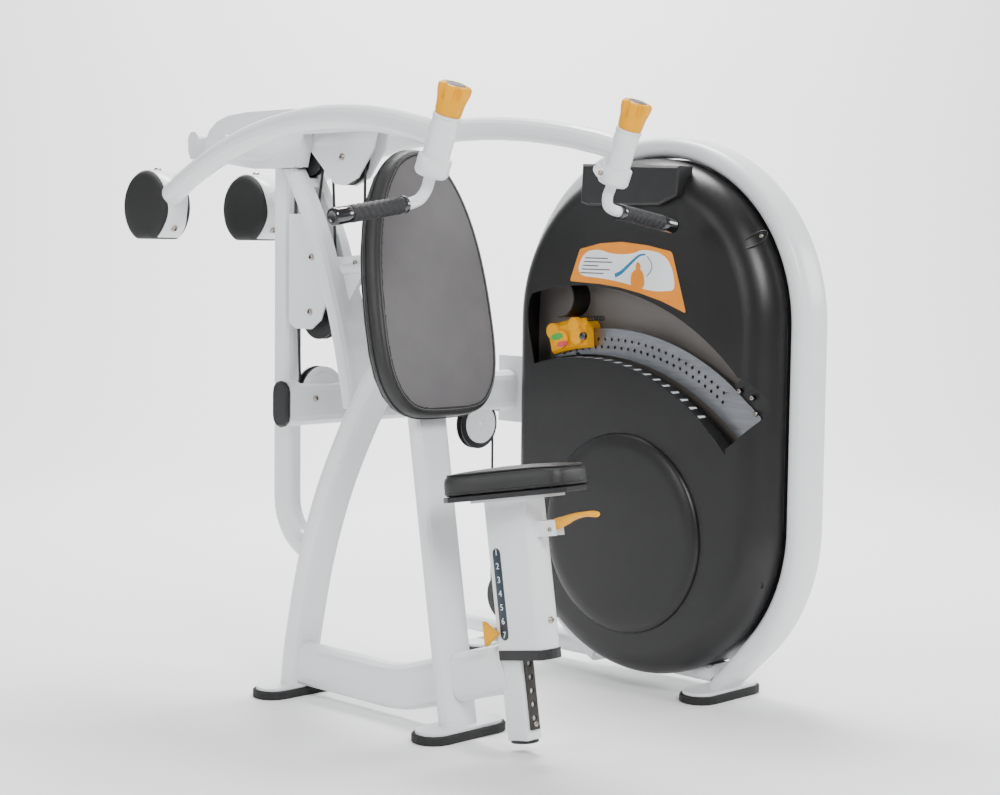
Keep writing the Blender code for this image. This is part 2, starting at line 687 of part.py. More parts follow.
def build_carriage():
    """The seat's sliding sleeve with its top plate and the lever's bracket."""
    wall = -CARRIAGE_WALL
    carriage = u_channel("seat_carriage", carriage_outline(0.0), carriage_outline(wall), CARRIAGE_BOTTOM,
                         CARRIAGE_TOP, "white_paint")
    top = post_plate("top_tool", [(-0.045, -0.050), (0.165, -0.036), (0.165, 0.036), (-0.045, 0.050)],
                     CARRIAGE_TOP - 0.002, CARRIAGE_TOP + 0.005, "white_paint")
    bracket = block_on_post("bracket_tool", (0.110, -0.014, 0.458), (0.172, -0.010, 0.492), "white_paint")
    other = block_on_post("bracket_tool", (0.110, 0.010, 0.458), (0.172, 0.014, 0.492), "white_paint")
    join(carriage, top, bracket, other)
    u_channel("carriage_trim", carriage_outline(0.0015), carriage_outline(-0.003), CARRIAGE_BOTTOM - 0.022,
              CARRIAGE_BOTTOM - GAP, "black_plastic")


def build_lever():
    """The yellow seat lever: a paddle ahead of its pivot."""
    halves = ((0.140, 0.0088, 0.472, 0.489), (0.174, 0.0088, 0.468, 0.494), (0.186, 0.014, 0.470, 0.497),
              (0.210, 0.021, 0.480, 0.500), (0.262, 0.023, 0.488, 0.502), (0.286, 0.014, 0.490, 0.499))
    rings = [
        [on_post(-half, forward, low), on_post(half, forward, low), on_post(half, forward, high),
         on_post(-half, forward, high)]
        for forward, half, low, high in halves
    ]
    loft("seat_lever", rings, "yellow_plastic")


SEAT_BASE = CARRIAGE_TOP + 0.005 + GAP
SEAT_BOARD = 0.012
SEAT_PAD = 0.052


def seat_outline(grow=0.0):
    """The tapered seat from above: (forward, x), wide at the rear and round at every corner."""
    rear, front = -0.060 - grow, 0.234 + grow
    wide, narrow = 0.136 + grow, 0.064 + grow
    half = [(rear, 0.100), (rear + 0.010, wide - 0.012), (rear + 0.036, wide), (0.020, wide - 0.006),
            (0.090, 0.106),
            (0.150, 0.080), (front - 0.034, narrow), (front - 0.009, narrow - 0.013), (front, narrow - 0.034)]
    return half + [(forward, -x) for forward, x in reversed(half)]


def build_seat():
    post_plate("seat_board", seat_outline(0.001), SEAT_BASE, SEAT_BASE + SEAT_BOARD, "black_plastic", 0.002)
    low = SEAT_BASE + SEAT_BOARD + GAP
    post_plate("seat_pad", seat_outline(), low, low + SEAT_PAD, "black_vinyl", 0.008)


def build_pointer():
    """The yellow height pointer beside the post, on an arm across the post's rear face."""
    outline = [(-0.046, 0.226), (-0.006, 0.250), (-0.046, 0.276)]
    pointer = plate("height_pointer", outline, 0.012, SEAT_ORIGIN - X_AXIS * 0.0480, POST_FORWARD, POST_UP,
                    "yellow_plastic")
    rear = -POST_DEPTH / 2 - GAP
    arm = plate("pointer_tool", [(-0.046, 0.236), (rear, 0.236), (rear, 0.266), (-0.046, 0.266)], 0.0600,
                SEAT_ORIGIN, POST_FORWARD, POST_UP, "yellow_plastic")
    join(pointer, arm)


# ---- backrest -----------------------------------------------------------------------------
def back_half_width(up):
    """Half width of the back pad at a height up its face: egg-shaped, widest low down."""
    wide_at = 0.190
    if up < wide_at:
        part = 1.0 - up / wide_at
        return 0.060 + 0.123 * (1.0 - part ** 2.6) ** (1.0 / 2.2)
    part = (up - wide_at) / (BACK_LENGTH - wide_at)
    return 0.020 + 0.163 * (1.0 - part ** 2.6) ** (1.0 / 1.7)


def back_outline(inset=0.0):
    """The pad from the front: (x, up)."""
    levels = (0.0, 0.008, 0.025, 0.055, 0.100, 0.155, 0.230, 0.310, 0.390, 0.460, 0.520, 0.570, 0.605,
              BACK_LENGTH)
    right = [(back_half_width(level), level) for level in levels]
    outline = right + [(-x, level) for x, level in reversed(right)]
    return shrink(outline, inset) if inset > 0.0 else outline


def back_plate(name, inset, start, thickness, material, bevel=0.0):
    """A layer of the backrest; start is its distance behind the pad's middle."""
    base = BACK_BOTTOM - BACK_FORWARD * start
    return plate(name, back_outline(inset), thickness, base, X_AXIS, BACK_UP, material, bevel)


def build_backrest():
    """The pad, its board and the brackets that hold them on the column."""
    half = BACK_THICKNESS / 2
    back_plate("backrest_pad", 0.0, half, BACK_THICKNESS, "black_vinyl", 0.012)
    back_plate("backrest_board", 0.010, half + GAP + BACK_BOARD, BACK_BOARD, "black_plastic")
    back = half + 2 * GAP + BACK_BOARD

    def on_back(x, behind, up):
        return BACK_BOTTOM + X_AXIS * x - BACK_FORWARD * behind + BACK_UP * up

    post = rod("backrest_strut", on_back(0.0, back + 0.003, 0.370), Vector((0.0, 0.420, 1.060)), 0.014,
               "white_paint")
    flange = disc("strut_tool", [(0.040, 0.0), (0.040, 0.006)], on_back(0.0, back, 0.370), -BACK_FORWARD,
                  "white_paint")
    join(post, flange)
    upper = tube("upper_tool", UPPER_PATH, frame_profile(GAP), "white_paint", end_normal=Z_AXIS)
    lug = block("lug_tool", (-0.006 - GAP, 0.300, 0.980), (0.006 + GAP, 0.450, 1.110), "white_paint")
    cut(post, upper, lug)


# ---- press arms ---------------------------------------------------------------------------
def arm_point(y, side):
    """Centre line of an arm; side is -1 for the user's right arm and 1 for the left."""
    part = (ARM_REAR_Y - y) / (ARM_REAR_Y - ARM_FRONT_Y)
    spread = ARM_SPREAD_REAR + (ARM_SPREAD_FRONT - ARM_SPREAD_REAR) * part
    drop = ARM_BEND - math.sqrt(ARM_BEND ** 2 - (y - ARM_TOP_Y) ** 2)
    return Vector((side * spread, y, ARM_TOP_Z - drop))


def arm_path(side, rear_y=ARM_REAR_Y, steps=16):
    return [arm_point(rear_y + (ARM_FRONT_Y - rear_y) * step / steps, side) for step in range(steps + 1)]


def arm_room(side):
    """The space an arm tube takes out of the pieces welded or clamped to it."""
    return tube("arm_tool", arm_path(side, ARM_REAR_Y + 0.001), circle(ARM_RADIUS + 2 * GAP), "white_paint")


def hub_point(side, along):
    return Vector((side * HUB_CENTRE.x, HUB_CENTRE.y, HUB_CENTRE.z)) + HUB_UP * along


def build_arm(name, side):
    """A curved arm tube with the handle hub welded to its front end."""
    arm = tube(name, arm_path(side), circle(ARM_RADIUS), "white_paint")
    profile = [(HUB_RADIUS, 0.040), (HUB_RADIUS, -0.050), (HUB_RADIUS + 0.006, -0.052),
               (HUB_RADIUS + 0.006, -0.086), (HUB_RADIUS + 0.003, -0.090)]
    hub = disc("hub_tool", profile, hub_point(side, 0.0), HUB_UP, "white_paint")
    join(arm, hub)
    stem = rod("stem_tool", hub_point(side, -0.100), hub_point(side, 0.050), 0.0125 + GAP, "white_paint")
    cut(arm, stem)


def build_knob(name, side):
    """The yellow fluted knob on top of a hub."""
    flutes = 6

    def ring(radius, along, depth):
        centre = hub_point(side, along)
        across = X_AXIS
        other = HUB_UP.cross(across)
        points = []
        for index in range(24):
            angle = 2 * math.pi * index / 24
            reach = radius - depth * (0.5 + 0.5 * math.cos(flutes * angle)) ** 2
            points.append(centre + across * reach * math.cos(angle) + other * reach * math.sin(angle))
        return points

    base = 0.040 + GAP
    loft(name, [ring(0.027, base, 0.0), ring(0.029, base + 0.004, 0.0), ring(0.031, base + 0.026, 0.003),
                ring(0.036, base + 0.052, 0.006), ring(0.035, base + 0.060, 0.006),
                ring(0.022, base + 0.066, 0.0)], "yellow_plastic")


def build_handle(name, side):
    """The bent stem and its straight outboard grip, which turn together in the hub."""
    reach = side * HUB_CENTRE.x
    foot = hub_point(side, -0.125)
    bend = [
        hub_point(side, 0.030), hub_point(side, -0.092), foot,
        Vector((reach + side * 0.008, foot.y + 0.007, foot.z - 0.016)),
        Vector((reach + side * 0.026, foot.y + 0.010, foot.z - 0.026)),
        Vector((side * 0.335, foot.y + 0.010, foot.z - 0.031)),
    ]
    normal = Vector((0.0, 0.92, 0.39))
    handle = tube(name, bend, circle(0.0125, 12), "white_paint", side=normal)
    start = Vector((side * 0.325, foot.y + 0.010, foot.z - 0.0295))
    end = Vector((side * 0.528, foot.y + 0.008, foot.z - 0.060))
    grip = rod("grip_tool", start, end, 0.0185, "grip_rubber")
    join(handle, grip)


def build_counterweight(name, side):
    """A flat-bottomed round weight on the arm's rear end, held by a saddle clamp."""
    centre = Vector((side * 0.157, 0.970, 1.212))
    radius, flat, length = 0.090, 0.082, 0.097

    def ring(scale, offset):
        points = []
        for index in range(28):
            angle = 2 * math.pi * index / 28
            height = max(radius * scale * math.sin(angle), -flat * scale)
            points.append(centre + Vector((offset, radius * scale * math.cos(angle), height)))
        return points

    half = length / 2
    weight = loft(name, [ring(0.86, -half), ring(0.96, -half + 0.006), ring(1.0, -half + 0.014),
                         ring(1.0, half - 0.014), ring(0.96, half - 0.006), ring(0.86, half)], "black_rubber")
    cut(weight, arm_room(side))


YOKE_HALF = 0.0620
YOKE_WALL = 0.006


def build_yoke():
    """The moving bridge between the arms: an inverted channel with a sleeve to each arm."""
    side_outline = [(0.892, 1.350), (0.892, 1.382), (0.876, 1.408), (0.845, 1.428), (0.800, 1.441),
                    (0.720, 1.447),
                    (0.560, 1.447), (0.300, 1.440), (0.275, 1.425), (0.275, 1.385), (0.500, 1.385),
                    (0.535, 1.306),
                    (0.690, 1.306), (0.840, 1.326)]
    yoke = plate("arm_yoke", side_outline, 2 * YOKE_HALF, X_AXIS * -YOKE_HALF, Y_AXIS, Z_AXIS, "white_paint")
    inside = [(0.876, 1.250), (0.876, 1.380), (0.840, 1.420), (0.790, 1.435), (0.720, 1.441), (0.560, 1.441),
              (0.250, 1.4297), (0.250, 1.250)]
    hollow = plate("hollow_tool", inside, 2 * (YOKE_HALF - YOKE_WALL), X_AXIS * (YOKE_WALL - YOKE_HALF),
                   Y_AXIS,
                   Z_AXIS, "white_paint")
    cut(yoke, hollow)
    for side in (-1, 1):
        sleeve = rod("sleeve_tool", PIVOT + X_AXIS * side * (YOKE_HALF - 0.005),
                     PIVOT + X_AXIS * side * 0.196,
                     0.030, "white_paint")
        join(yoke, sleeve)
        cut(yoke, arm_room(side))
    neck = block("neck_tool", (-0.020, 0.884, 1.358), (0.020, 0.990, 1.392), "white_paint")
    tongue = [(0.980, 1.345), (0.992, 1.338), (1.014, 1.340), (1.024, 1.360), (1.024, 1.396), (1.012, 1.410),
              (0.992, 1.410), (0.980, 1.398)]
    tab = plate("tab_tool", tongue, 0.044, X_AXIS * -0.022, Y_AXIS, Z_AXIS, "white_paint")
    join(yoke, neck, tab)
    cut(yoke, rod("bore_tool", PIVOT - X_AXIS * 0.1505, PIVOT + X_AXIS * 0.1505, 0.0128, "steel"))


def build_pulley_housing():
    """Two plates hung from the yoke's roof that carry the arm pulley."""
    outline = [(0.535, 1.360), (0.500, 1.4385), (0.300, 1.4311), (0.276, 1.395), (0.290, 1.345),
               (0.345, 1.280),
               (0.395, 1.262), (0.430, 1.266), (0.480, 1.310)]
    housing = plate("pulley_housing", outline, 0.005, X_AXIS * -0.0205, Y_AXIS, Z_AXIS, "white_paint")
    other = plate("housing_tool", outline, 0.005, X_AXIS * 0.0155, Y_AXIS, Z_AXIS, "white_paint")
    roof = [(0.300, 1.4311), (0.500, 1.4385), (0.500, 1.4335), (0.300, 1.4261)]
    web = plate("web_tool", roof, 0.041, X_AXIS * -0.0205, Y_AXIS, Z_AXIS, "white_paint")
    axle = rod("axle_tool", ARM_PULLEY - X_AXIS * 0.018, ARM_PULLEY + X_AXIS * 0.018, AXLE_RADIUS,
               "white_paint")
    join(housing, web, other, axle)


# ---- weight tower -------------------------------------------------------------------------
def tower_outline(radius, steps=22):
    """Stadium points (y, z) of the tower at a given end radius."""
    points = []
    for centre_z, start in ((HOOP_HIGH_Z, 0.0), (HOOP_LOW_Z, 180.0)):
        for step in range(steps + 1):
            angle = math.radians(start + 180.0 * step / steps)
            points.append((TOWER_Y + radius * math.cos(angle), centre_z + radius * math.sin(angle)))
    return points


def tower_ring(radius, x):
    return [Vector((x, y, z)) for y, z in tower_outline(radius)]


def hoop_front_end():
    """The hoop's straight front end, from the foot plate up to its round."""
    turn = math.radians(HOOP_FOOT_TURN)
    top = Vector((TOWER_X, TOWER_Y + HOOP_RADIUS * math.cos(turn), HOOP_LOW_Z + HOOP_RADIUS * math.sin(turn)))
    heading = Vector((0.0, -math.sin(turn), math.cos(turn)))
    return [top + heading * ((FOOT_TOP - top.z) / heading.z), top]


def hoop_profile(grow=0.0):
    return rounded_rectangle(HOOP_WIDTH + 2 * grow, HOOP_THICK + 2 * grow, 0.019 + grow)


def build_hoop():
    """The flat oval tube round the tower, from the front foot over the top to the base rail."""
    path = hoop_front_end()[:1]
    path += arc(TOWER_Y, HOOP_LOW_Z, HOOP_RADIUS, HOOP_FOOT_TURN, 180.0, 6, TOWER_X)
    path += arc(TOWER_Y, HOOP_HIGH_Z, HOOP_RADIUS, 180.0, 0.0, 30, TOWER_X)
    path += arc(TOWER_Y, HOOP_LOW_Z, HOOP_RADIUS, 0.0, -64.5, 10, TOWER_X)
    hoop = tube("tower_hoop", path, hoop_profile(), "white_paint", start_normal=Z_AXIS)
    join(hoop, foot_plate(TOWER_X, TOWER_FOOT_FRONT_Y))
    cut(hoop, tower_rail("rail_tool", 0.0, GAP))


def tower_rail(name, front_y, grow=0.0):
    path = [Vector((TOWER_X, y, TOWER_RAIL_Z)) for y in (front_y, 0.740 + grow)]
    profile = rounded_rectangle(TOWER_RAIL_WIDTH + 2 * grow, TOWER_RAIL_HEIGHT + 2 * grow, 0.018 + grow)
    return tube(name, path, profile, "white_paint")


def build_tower_rail():
    """The rail under the tower with its rear foot plate and the low pulley's arm."""
    rail = tower_rail("tower_base_rail", -0.170)
    spacer = block("spacer_tool", (TOWER_X - 0.030, TOWER_FOOT_REAR_Y - 0.022, FLOOR_PAD + 0.004),
                   (TOWER_X + 0.030, TOWER_FOOT_REAR_Y + 0.022, TOWER_RAIL_Z), "white_paint")
    join(rail, spacer, foot_plate(TOWER_X, TOWER_FOOT_REAR_Y))
    arm = block("pulley_arm_tool", (LOW_PULLEY.x + 0.0125, LOW_PULLEY.y - 0.018, 0.056),
                (LOW_PULLEY.x + 0.0185, LOW_PULLEY.y + 0.018, LOW_PULLEY.z + 0.020), "white_paint")
    foot = block("pulley_foot_tool", (LOW_PULLEY.x + 0.0125, LOW_PULLEY.y - 0.018, 0.056),
                 (TOWER_X - 0.030, LOW_PULLEY.y + 0.018, 0.070), "white_paint")
    axle = rod("axle_tool", LOW_PULLEY - X_AXIS * 0.012, LOW_PULLEY + X_AXIS * 0.014, AXLE_RADIUS,
               "white_paint")
    join(rail, arm, foot, axle)
    hoop_path = hoop_front_end()
    hoop_path[0] = hoop_path[0] + (hoop_path[0] - hoop_path[1]).normalized() * 0.05
    cut(rail, tube("hoop_tool", hoop_path, hoop_profile(GAP), "white_paint"))


def shell_rings(face_x, back_x, radius, rounding, direction):
    """Rings of a stadium cup's skin from its face's edge to its rim."""
    rings = []
    for step in range(5):
        angle = math.radians(90.0 * step / 4)
        inset = rounding * (1.0 - math.sin(angle))
        depth = rounding * (1.0 - math.cos(angle))
        rings.append(tower_ring(radius - inset, face_x + direction * depth))
    rings.append(tower_ring(radius, back_x))
    return rings


def cup(name, face_x, back_x, radius, rounding, wall, material):
    """An open-backed stadium cup with a large rounded edge."""
    direction = 1.0 if back_x > face_x else -1.0
    outer = shell_rings(face_x, back_x, radius, rounding, direction)
    inner = shell_rings(face_x + direction * wall, back_x, radius - wall, rounding - wall, direction)
    return loft(name, outer + inner[::-1], material)


def arc_height(arc_data, y):
    centre_y, centre_z, radius = arc_data
    return centre_z + math.sqrt(radius ** 2 - (y - centre_y) ** 2)


def window_outline():
    """The window's edge: two arcs, a round rear pocket and a stepped front end."""
    steps = 14
    rear, front_top, front_low = 0.385, -0.300, -0.268
    upper = [(rear + (front_top - rear) * step / steps) for step in range(steps + 1)]
    lower = [(front_low + (0.375 - front_low) * step / steps) for step in range(steps + 1)]
    front = [(-0.330, 0.806), (-0.356, 0.782), (-0.374, 0.750), (-0.366, 0.724), (-0.302, 0.667),
             (-0.266, 0.640)]
    pocket = [(0.382, 0.850), (0.400, 0.900), (0.406, 0.955), (0.400, 0.985)]
    points = [(y, arc_height(WINDOW_TOP_ARC, y)) for y in upper] + front
    return points + [(y, arc_height(WINDOW_LOW_ARC, y)) for y in lower] + pocket


def build_shroud():
    """The black front cover of the tower, with the weight bulge and the window."""
    shroud = cup("inner_shroud", SHROUD_FACE_X, SHROUD_BACK_X, SHROUD_RADIUS, SHROUD_ROUND, SHROUD_WALL,
                 "smoked_plastic")
    y, z, radius = BULGE
    bulge = disc("bulge_tool", [(radius - 0.045, -0.016), (radius - 0.024, -0.0145), (radius - 0.006, -0.008),
                                (radius, 0.0), (radius, 0.003)],
                 Vector((SHROUD_FACE_X, y, z)), X_AXIS, "smoked_plastic", 48)
    join(shroud, bulge)
    window = plate("window_tool", window_outline(), 0.120, X_AXIS * 0.580, Y_AXIS, Z_AXIS, "smoked_plastic")
    notch = block("notch_tool", (LOW_PULLEY.x - 0.012, 0.180, 0.100), (LOW_PULLEY.x + 0.012, 0.460, 0.235),
                  "smoked_plastic")
    cut(shroud, window, notch)
    outer = cup("outer_shroud", 0.845, 0.7075, SHROUD_RADIUS, 0.050, SHROUD_WALL, "smoked_plastic")
    cut(outer, block("rail_gap_tool", (0.70, -0.60, 0.0), (0.90, 0.90, LINER_BOTTOM), "smoked_plastic"))


def build_liner():
    """The grey wall behind the cover, with the shafts of the swinging weight and the guide pulley."""
    outline = [(y, max(z, LINER_BOTTOM)) for y, z in tower_outline(SHROUD_RADIUS - 0.002)]
    liner = plate("tower_liner", outline, 0.003, X_AXIS * (SHROUD_BACK_X + GAP), Y_AXIS, Z_AXIS, "grey_liner")
    y, z, _ = BULGE
    weight_shaft = rod("shaft_tool", Vector((0.6285, y, z)), Vector((SHROUD_BACK_X + 0.002, y, z)),
                       0.015, "steel")
    guide = Vector((0.0, RAIL_ARC[0], RAIL_ARC[1]))
    guide_shaft = rod("shaft_tool", guide + X_AXIS * 0.6572, guide + X_AXIS * (SHROUD_BACK_X + 0.002),
                      AXLE_RADIUS,
                      "steel")
    join(liner, weight_shaft, guide_shaft)


def build_badge():
    """The blank badge housing on the shroud's top edge."""
    outline = [(0.200, 1.236), (0.176, 1.228), (-0.060, 1.228), (-0.116, 1.250), (-0.124, 1.322),
               (0.196, 1.334)]
    badge = plate("badge_housing", outline, 0.060, X_AXIS * 0.598, Y_AXIS, Z_AXIS, "black_plastic", 0.006)
    envelope = loft("envelope_tool", shell_rings(SHROUD_FACE_X - GAP, 0.720, SHROUD_RADIUS + GAP, SHROUD_ROUND, 1.0),
                    "black_plastic")
    cut(badge, envelope)


def arc_band(name, inner, outer, front, rear, low_x, high_x, material, nose=(), steps=14):
    """A curved band between two arcs (y, z, radius); nose is extra points at its front end."""
    ys = [(front + (rear - front) * step / steps) for step in range(steps + 1)]
    outline = list(nose) + [(y, arc_height(inner, y)) for y in ys]
    outline += [(y, arc_height(outer, y)) for y in reversed(ys)]
    return plate(name, outline, high_x - low_x, X_AXIS * low_x, Y_AXIS, Z_AXIS, material)


def build_selector_rail():
    """The curved rail, its end plate and the scale ledge below it."""
    arc_band("selector_rail", RAIL_LOW_ARC, RAIL_ARC, -0.250, 0.352, RAIL_X, RAIL_X + RAIL_PLATE, "steel",
             [(-0.334, 0.719), (-0.318, 0.655), (-0.290, 0.645)])
    outline = [(-0.240, 0.786), (-0.275, 0.813), (-0.315, 0.811), (-0.345, 0.795), (-0.364, 0.765),
               (-0.368, 0.735),
               (-0.355, 0.705), (-0.300, 0.700)]
    plate("rail_end_plate", outline, 0.008, X_AXIS * (RAIL_X + RAIL_PLATE + GAP), Y_AXIS, Z_AXIS,
          "black_plastic")
    y, z, radius = WINDOW_LOW_ARC
    ledge_low = (y, z, radius - 0.0035)
    ledge_high = (y, z, radius - GAP)
    arc_band("scale_ledge", ledge_low, ledge_high, -0.262, 0.362, SHROUD_FACE_X + SHROUD_WALL + GAP, 0.660,
             "black_plastic")


def build_selector():
    """The yellow carriage that straddles the rail's upper edge."""
    centre_y, centre_z, radius = RAIL_ARC
    slot = 0.0009
    low, high = 0.632, 0.710
    profile = [
        (0.648, low), (RAIL_X - slot, low), (RAIL_X - slot, radius + slot), (RAIL_X + RAIL_PLATE + slot,
                                                                             radius + slot),
        (RAIL_X + RAIL_PLATE + slot, low + 0.020), (0.698, low + 0.020), (0.698, high - 0.010), (0.690, high),
        (0.655, high), (0.642, high - 0.012), (0.642, low + 0.008),
    ]
    rings = []
    for step in range(9):
        angle = math.radians(SELECTOR_ANGLE + SELECTOR_SPAN * (step / 8 - 0.5))
        swell = 1.0 if 0 < step < 8 else 0.985
        rings.append([
            Vector((x, centre_y + r * (swell if r > radius + 0.01 else 1.0) * math.sin(angle),
                    centre_z + r * (swell if r > radius + 0.01 else 1.0) * math.cos(angle)))
            for x, r in profile
        ])
    loft("selector_carriage", rings, "yellow_plastic")


def build_pendulum():
    """The hidden swinging weight: a heavy sector hung from a shaft behind the bulge."""
    y, z, _ = BULGE
    centre = Vector((0.0, y, z))
    sector = [(y + 0.200 * math.cos(math.radians(a)), z + 0.200 * math.sin(math.radians(a)))
              for a in range(215, 326, 10)]
    sector += [(y + 0.034, z + 0.020), (y, z + 0.034), (y - 0.034, z + 0.020)]
    low_x = 0.6315
    weight = plate("weight_pendulum", sector, 0.024, X_AXIS * low_x, Y_AXIS, Z_AXIS, "steel")
    cut(weight, rod("bore_tool", centre + X_AXIS * 0.62, centre + X_AXIS * 0.70, 0.0153, "steel"))


# ---- the machine --------------------------------------------------------------------------
def main():
    for old in list(bpy.data.objects):
        bpy.data.objects.remove(old, do_unlink=True)
    for name, (x, y) in FEET.items():
        foot_pad(name, x, y)
    build_column()
    build_rear_leg()
    build_upper_column()
    build_upright()
    build_base_rail()
    build_post_stub()
    build_beam()
    build_tower_flange()
    build_pivot_head()
    build_pulley_bracket()
    build_pulleys()
    build_cable()
    build_post()
    build_carriage()
    build_lever()
    build_seat()
    build_pointer()
    build_backrest()
    build_hoop()
    build_tower_rail()
    build_shroud()
    build_liner()
    build_badge()
    build_selector_rail()
    build_selector()
    build_pendulum()
    build_yoke()
    build_pulley_housing()
    for label, side in (("right", -1), ("left", 1)):
        build_arm(label + "_arm", side)
        build_knob(label + "_knob", side)
        build_handle(label + "_handle", side)
        build_counterweight(label + "_counterweight", side)


main()
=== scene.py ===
"""Seated shoulder press machine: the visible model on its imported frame, in metres."""

from math import copysign, cos, exp, pi, radians, sin, sqrt

import bmesh
import bpy
from mathutils import Matrix, Vector


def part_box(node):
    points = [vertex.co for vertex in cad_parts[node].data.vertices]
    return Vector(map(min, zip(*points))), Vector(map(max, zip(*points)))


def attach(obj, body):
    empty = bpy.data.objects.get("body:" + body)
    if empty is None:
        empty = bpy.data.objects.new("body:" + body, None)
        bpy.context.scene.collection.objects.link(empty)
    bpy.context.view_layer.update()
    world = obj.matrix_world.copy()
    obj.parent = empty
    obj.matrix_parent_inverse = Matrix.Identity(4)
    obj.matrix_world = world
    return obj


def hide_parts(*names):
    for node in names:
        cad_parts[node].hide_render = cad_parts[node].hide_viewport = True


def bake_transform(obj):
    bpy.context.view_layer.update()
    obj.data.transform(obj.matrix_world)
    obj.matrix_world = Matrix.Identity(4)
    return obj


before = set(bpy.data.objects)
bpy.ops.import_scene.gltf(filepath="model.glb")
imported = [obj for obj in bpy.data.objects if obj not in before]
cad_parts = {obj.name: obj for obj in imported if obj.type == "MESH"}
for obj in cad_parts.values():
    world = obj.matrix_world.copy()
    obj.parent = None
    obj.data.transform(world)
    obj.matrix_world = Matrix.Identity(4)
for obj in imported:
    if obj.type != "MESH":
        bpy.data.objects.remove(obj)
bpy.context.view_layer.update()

# ---- dimensions shared with the CAD ----
X_AXIS = Vector((1.0, 0.0, 0.0))
Y_AXIS = Vector((0.0, 1.0, 0.0))
Z_AXIS = Vector((0.0, 0.0, 1.0))

LEAN = radians(9.3)                         # backward lean of the seat post
SEAT_ORIGIN = Vector((0.0, -0.213, 0.02))
POST_UP = Vector((0.0, sin(LEAN), cos(LEAN)))
POST_FORWARD = Vector((0.0, -cos(LEAN), sin(LEAN)))
SEAT_PAD_LOW = 0.5626                       # underside of the seat pad, up the post
SEAT_PAD_HIGH = 0.6146

BACK_LEAN = radians(11.1)
BACK_BOTTOM = Vector((0.0, 0.0598, 0.729))
BACK_UP = Vector((0.0, sin(BACK_LEAN), cos(BACK_LEAN)))
BACK_FORWARD = Vector((0.0, -cos(BACK_LEAN), sin(BACK_LEAN)))
BACK_LENGTH = 0.625
BACK_HALF = 0.029                           # half the pad's thickness

HUB_TILT = radians(22.0)
HUB_UP = Vector((0.0, -sin(HUB_TILT), cos(HUB_TILT)))
HUB_CENTRE = Vector((0.282, -0.225, 1.351))
STEM_RADIUS = 0.0125

COVER_X = 0.62                              # front face of the tower's cover
RAIL_X = 0.672
RAIL_ARC = (0.15, 0.235, 0.68)              # y, z, radius of the selector rail's upper edge
RAIL_LOW_ARC = (0.2, 0.156, 0.69)
LEDGE_ARC = (0.2, 0.22, 0.62)
WINDOW_ARC = (0.2, 0.32, 0.705)
TOWER_X = 0.75
TOWER_Y = 0.03
COVER_RADIUS = 0.4125
HOOP_RADIUS = 0.442
HOOP_LOW_Z = 0.452
HOOP_HIGH_Z = 0.934
HOOP_FOOT_TURN = 222.0                      # degrees round the low arc where the front foot leaves it
HOOP_FOOT_Z = 0.0235
WEIGHT_CENTRE = Vector((0.157, 0.97, 1.212))
CABLE_RADIUS = 0.0035
SWELL_LIMIT = 0.01                          # how far a cushion's cover may puff out

CAMERA_PLACE = Vector((-2.95283, -3.07276, 1.115))
CAMERA_LENS = 67.86                         # millimetres, on a sensor 36 wide
CAMERA_YAW, CAMERA_PITCH, CAMERA_ROLL = 45.0, -4.5, 0.7

SIDES = (("left", 1.0), ("right", -1.0))


# ---- materials ----
def tint(colour, factor):
    return (*[min(max(channel * factor, 0.0), 1.0) for channel in colour], 1.0)


def material(name, colour, roughness, metallic=0.0, variation=0.08, patch=9.0, grain=0.0, grain_scale=600.0,
             cells=False, stretch=(1.0, 1.0, 1.0), edge=0.0, coat=0.0, uneven=0.06, shine=0.5):
    """A surface with broad colour patches, uneven gloss, fine relief and softened edges."""
    made = bpy.data.materials.new(name)
    made.use_nodes = True
    nodes, links = made.node_tree.nodes, made.node_tree.links
    shader = nodes["Principled BSDF"]
    shader.inputs["Metallic"].default_value = metallic
    shader.inputs["Coat Weight"].default_value = coat
    shader.inputs["Specular IOR Level"].default_value = shine
    place = nodes.new("ShaderNodeTexCoord")
    scale = nodes.new("ShaderNodeMapping")
    scale.inputs["Scale"].default_value = stretch
    links.new(place.outputs["Object"], scale.inputs["Vector"])

    patches = nodes.new("ShaderNodeTexNoise")
    patches.inputs["Scale"].default_value = patch
    patches.inputs["Detail"].default_value = 5.0
    links.new(scale.outputs["Vector"], patches.inputs["Vector"])
    ramp = nodes.new("ShaderNodeValToRGB")
    ramp.color_ramp.elements[0].position = 0.3
    ramp.color_ramp.elements[1].position = 0.7
    ramp.color_ramp.elements[0].color = tint(colour, 1.0 - variation)
    ramp.color_ramp.elements[1].color = tint(colour, 1.0 + variation)
    links.new(patches.outputs["Fac"], ramp.inputs["Fac"])
    links.new(ramp.outputs["Color"], shader.inputs["Base Color"])

    gloss = nodes.new("ShaderNodeMapRange")
    gloss.inputs["To Min"].default_value = max(roughness - uneven, 0.05)
    gloss.inputs["To Max"].default_value = min(roughness + uneven, 1.0)
    links.new(patches.outputs["Fac"], gloss.inputs["Value"])
    links.new(gloss.outputs["Result"], shader.inputs["Roughness"])

    relief = nodes.new("ShaderNodeTexVoronoi" if cells else "ShaderNodeTexNoise")
    relief.inputs["Scale"].default_value = grain_scale
    links.new(scale.outputs["Vector"], relief.inputs["Vector"])
    bump = nodes.new("ShaderNodeBump")
    bump.inputs["Strength"].default_value = grain
    bump.inputs["Distance"].default_value = 0.0006
    links.new(relief.outputs["Distance" if cells else "Fac"], bump.inputs["Height"])
    if edge > 0.0:
        soften = nodes.new("ShaderNodeBevel")
        soften.samples = 4
        soften.inputs["Radius"].default_value = edge
        links.new(soften.outputs["Normal"], bump.inputs["Normal"])
    links.new(bump.outputs["Normal"], shader.inputs["Normal"])
    return made


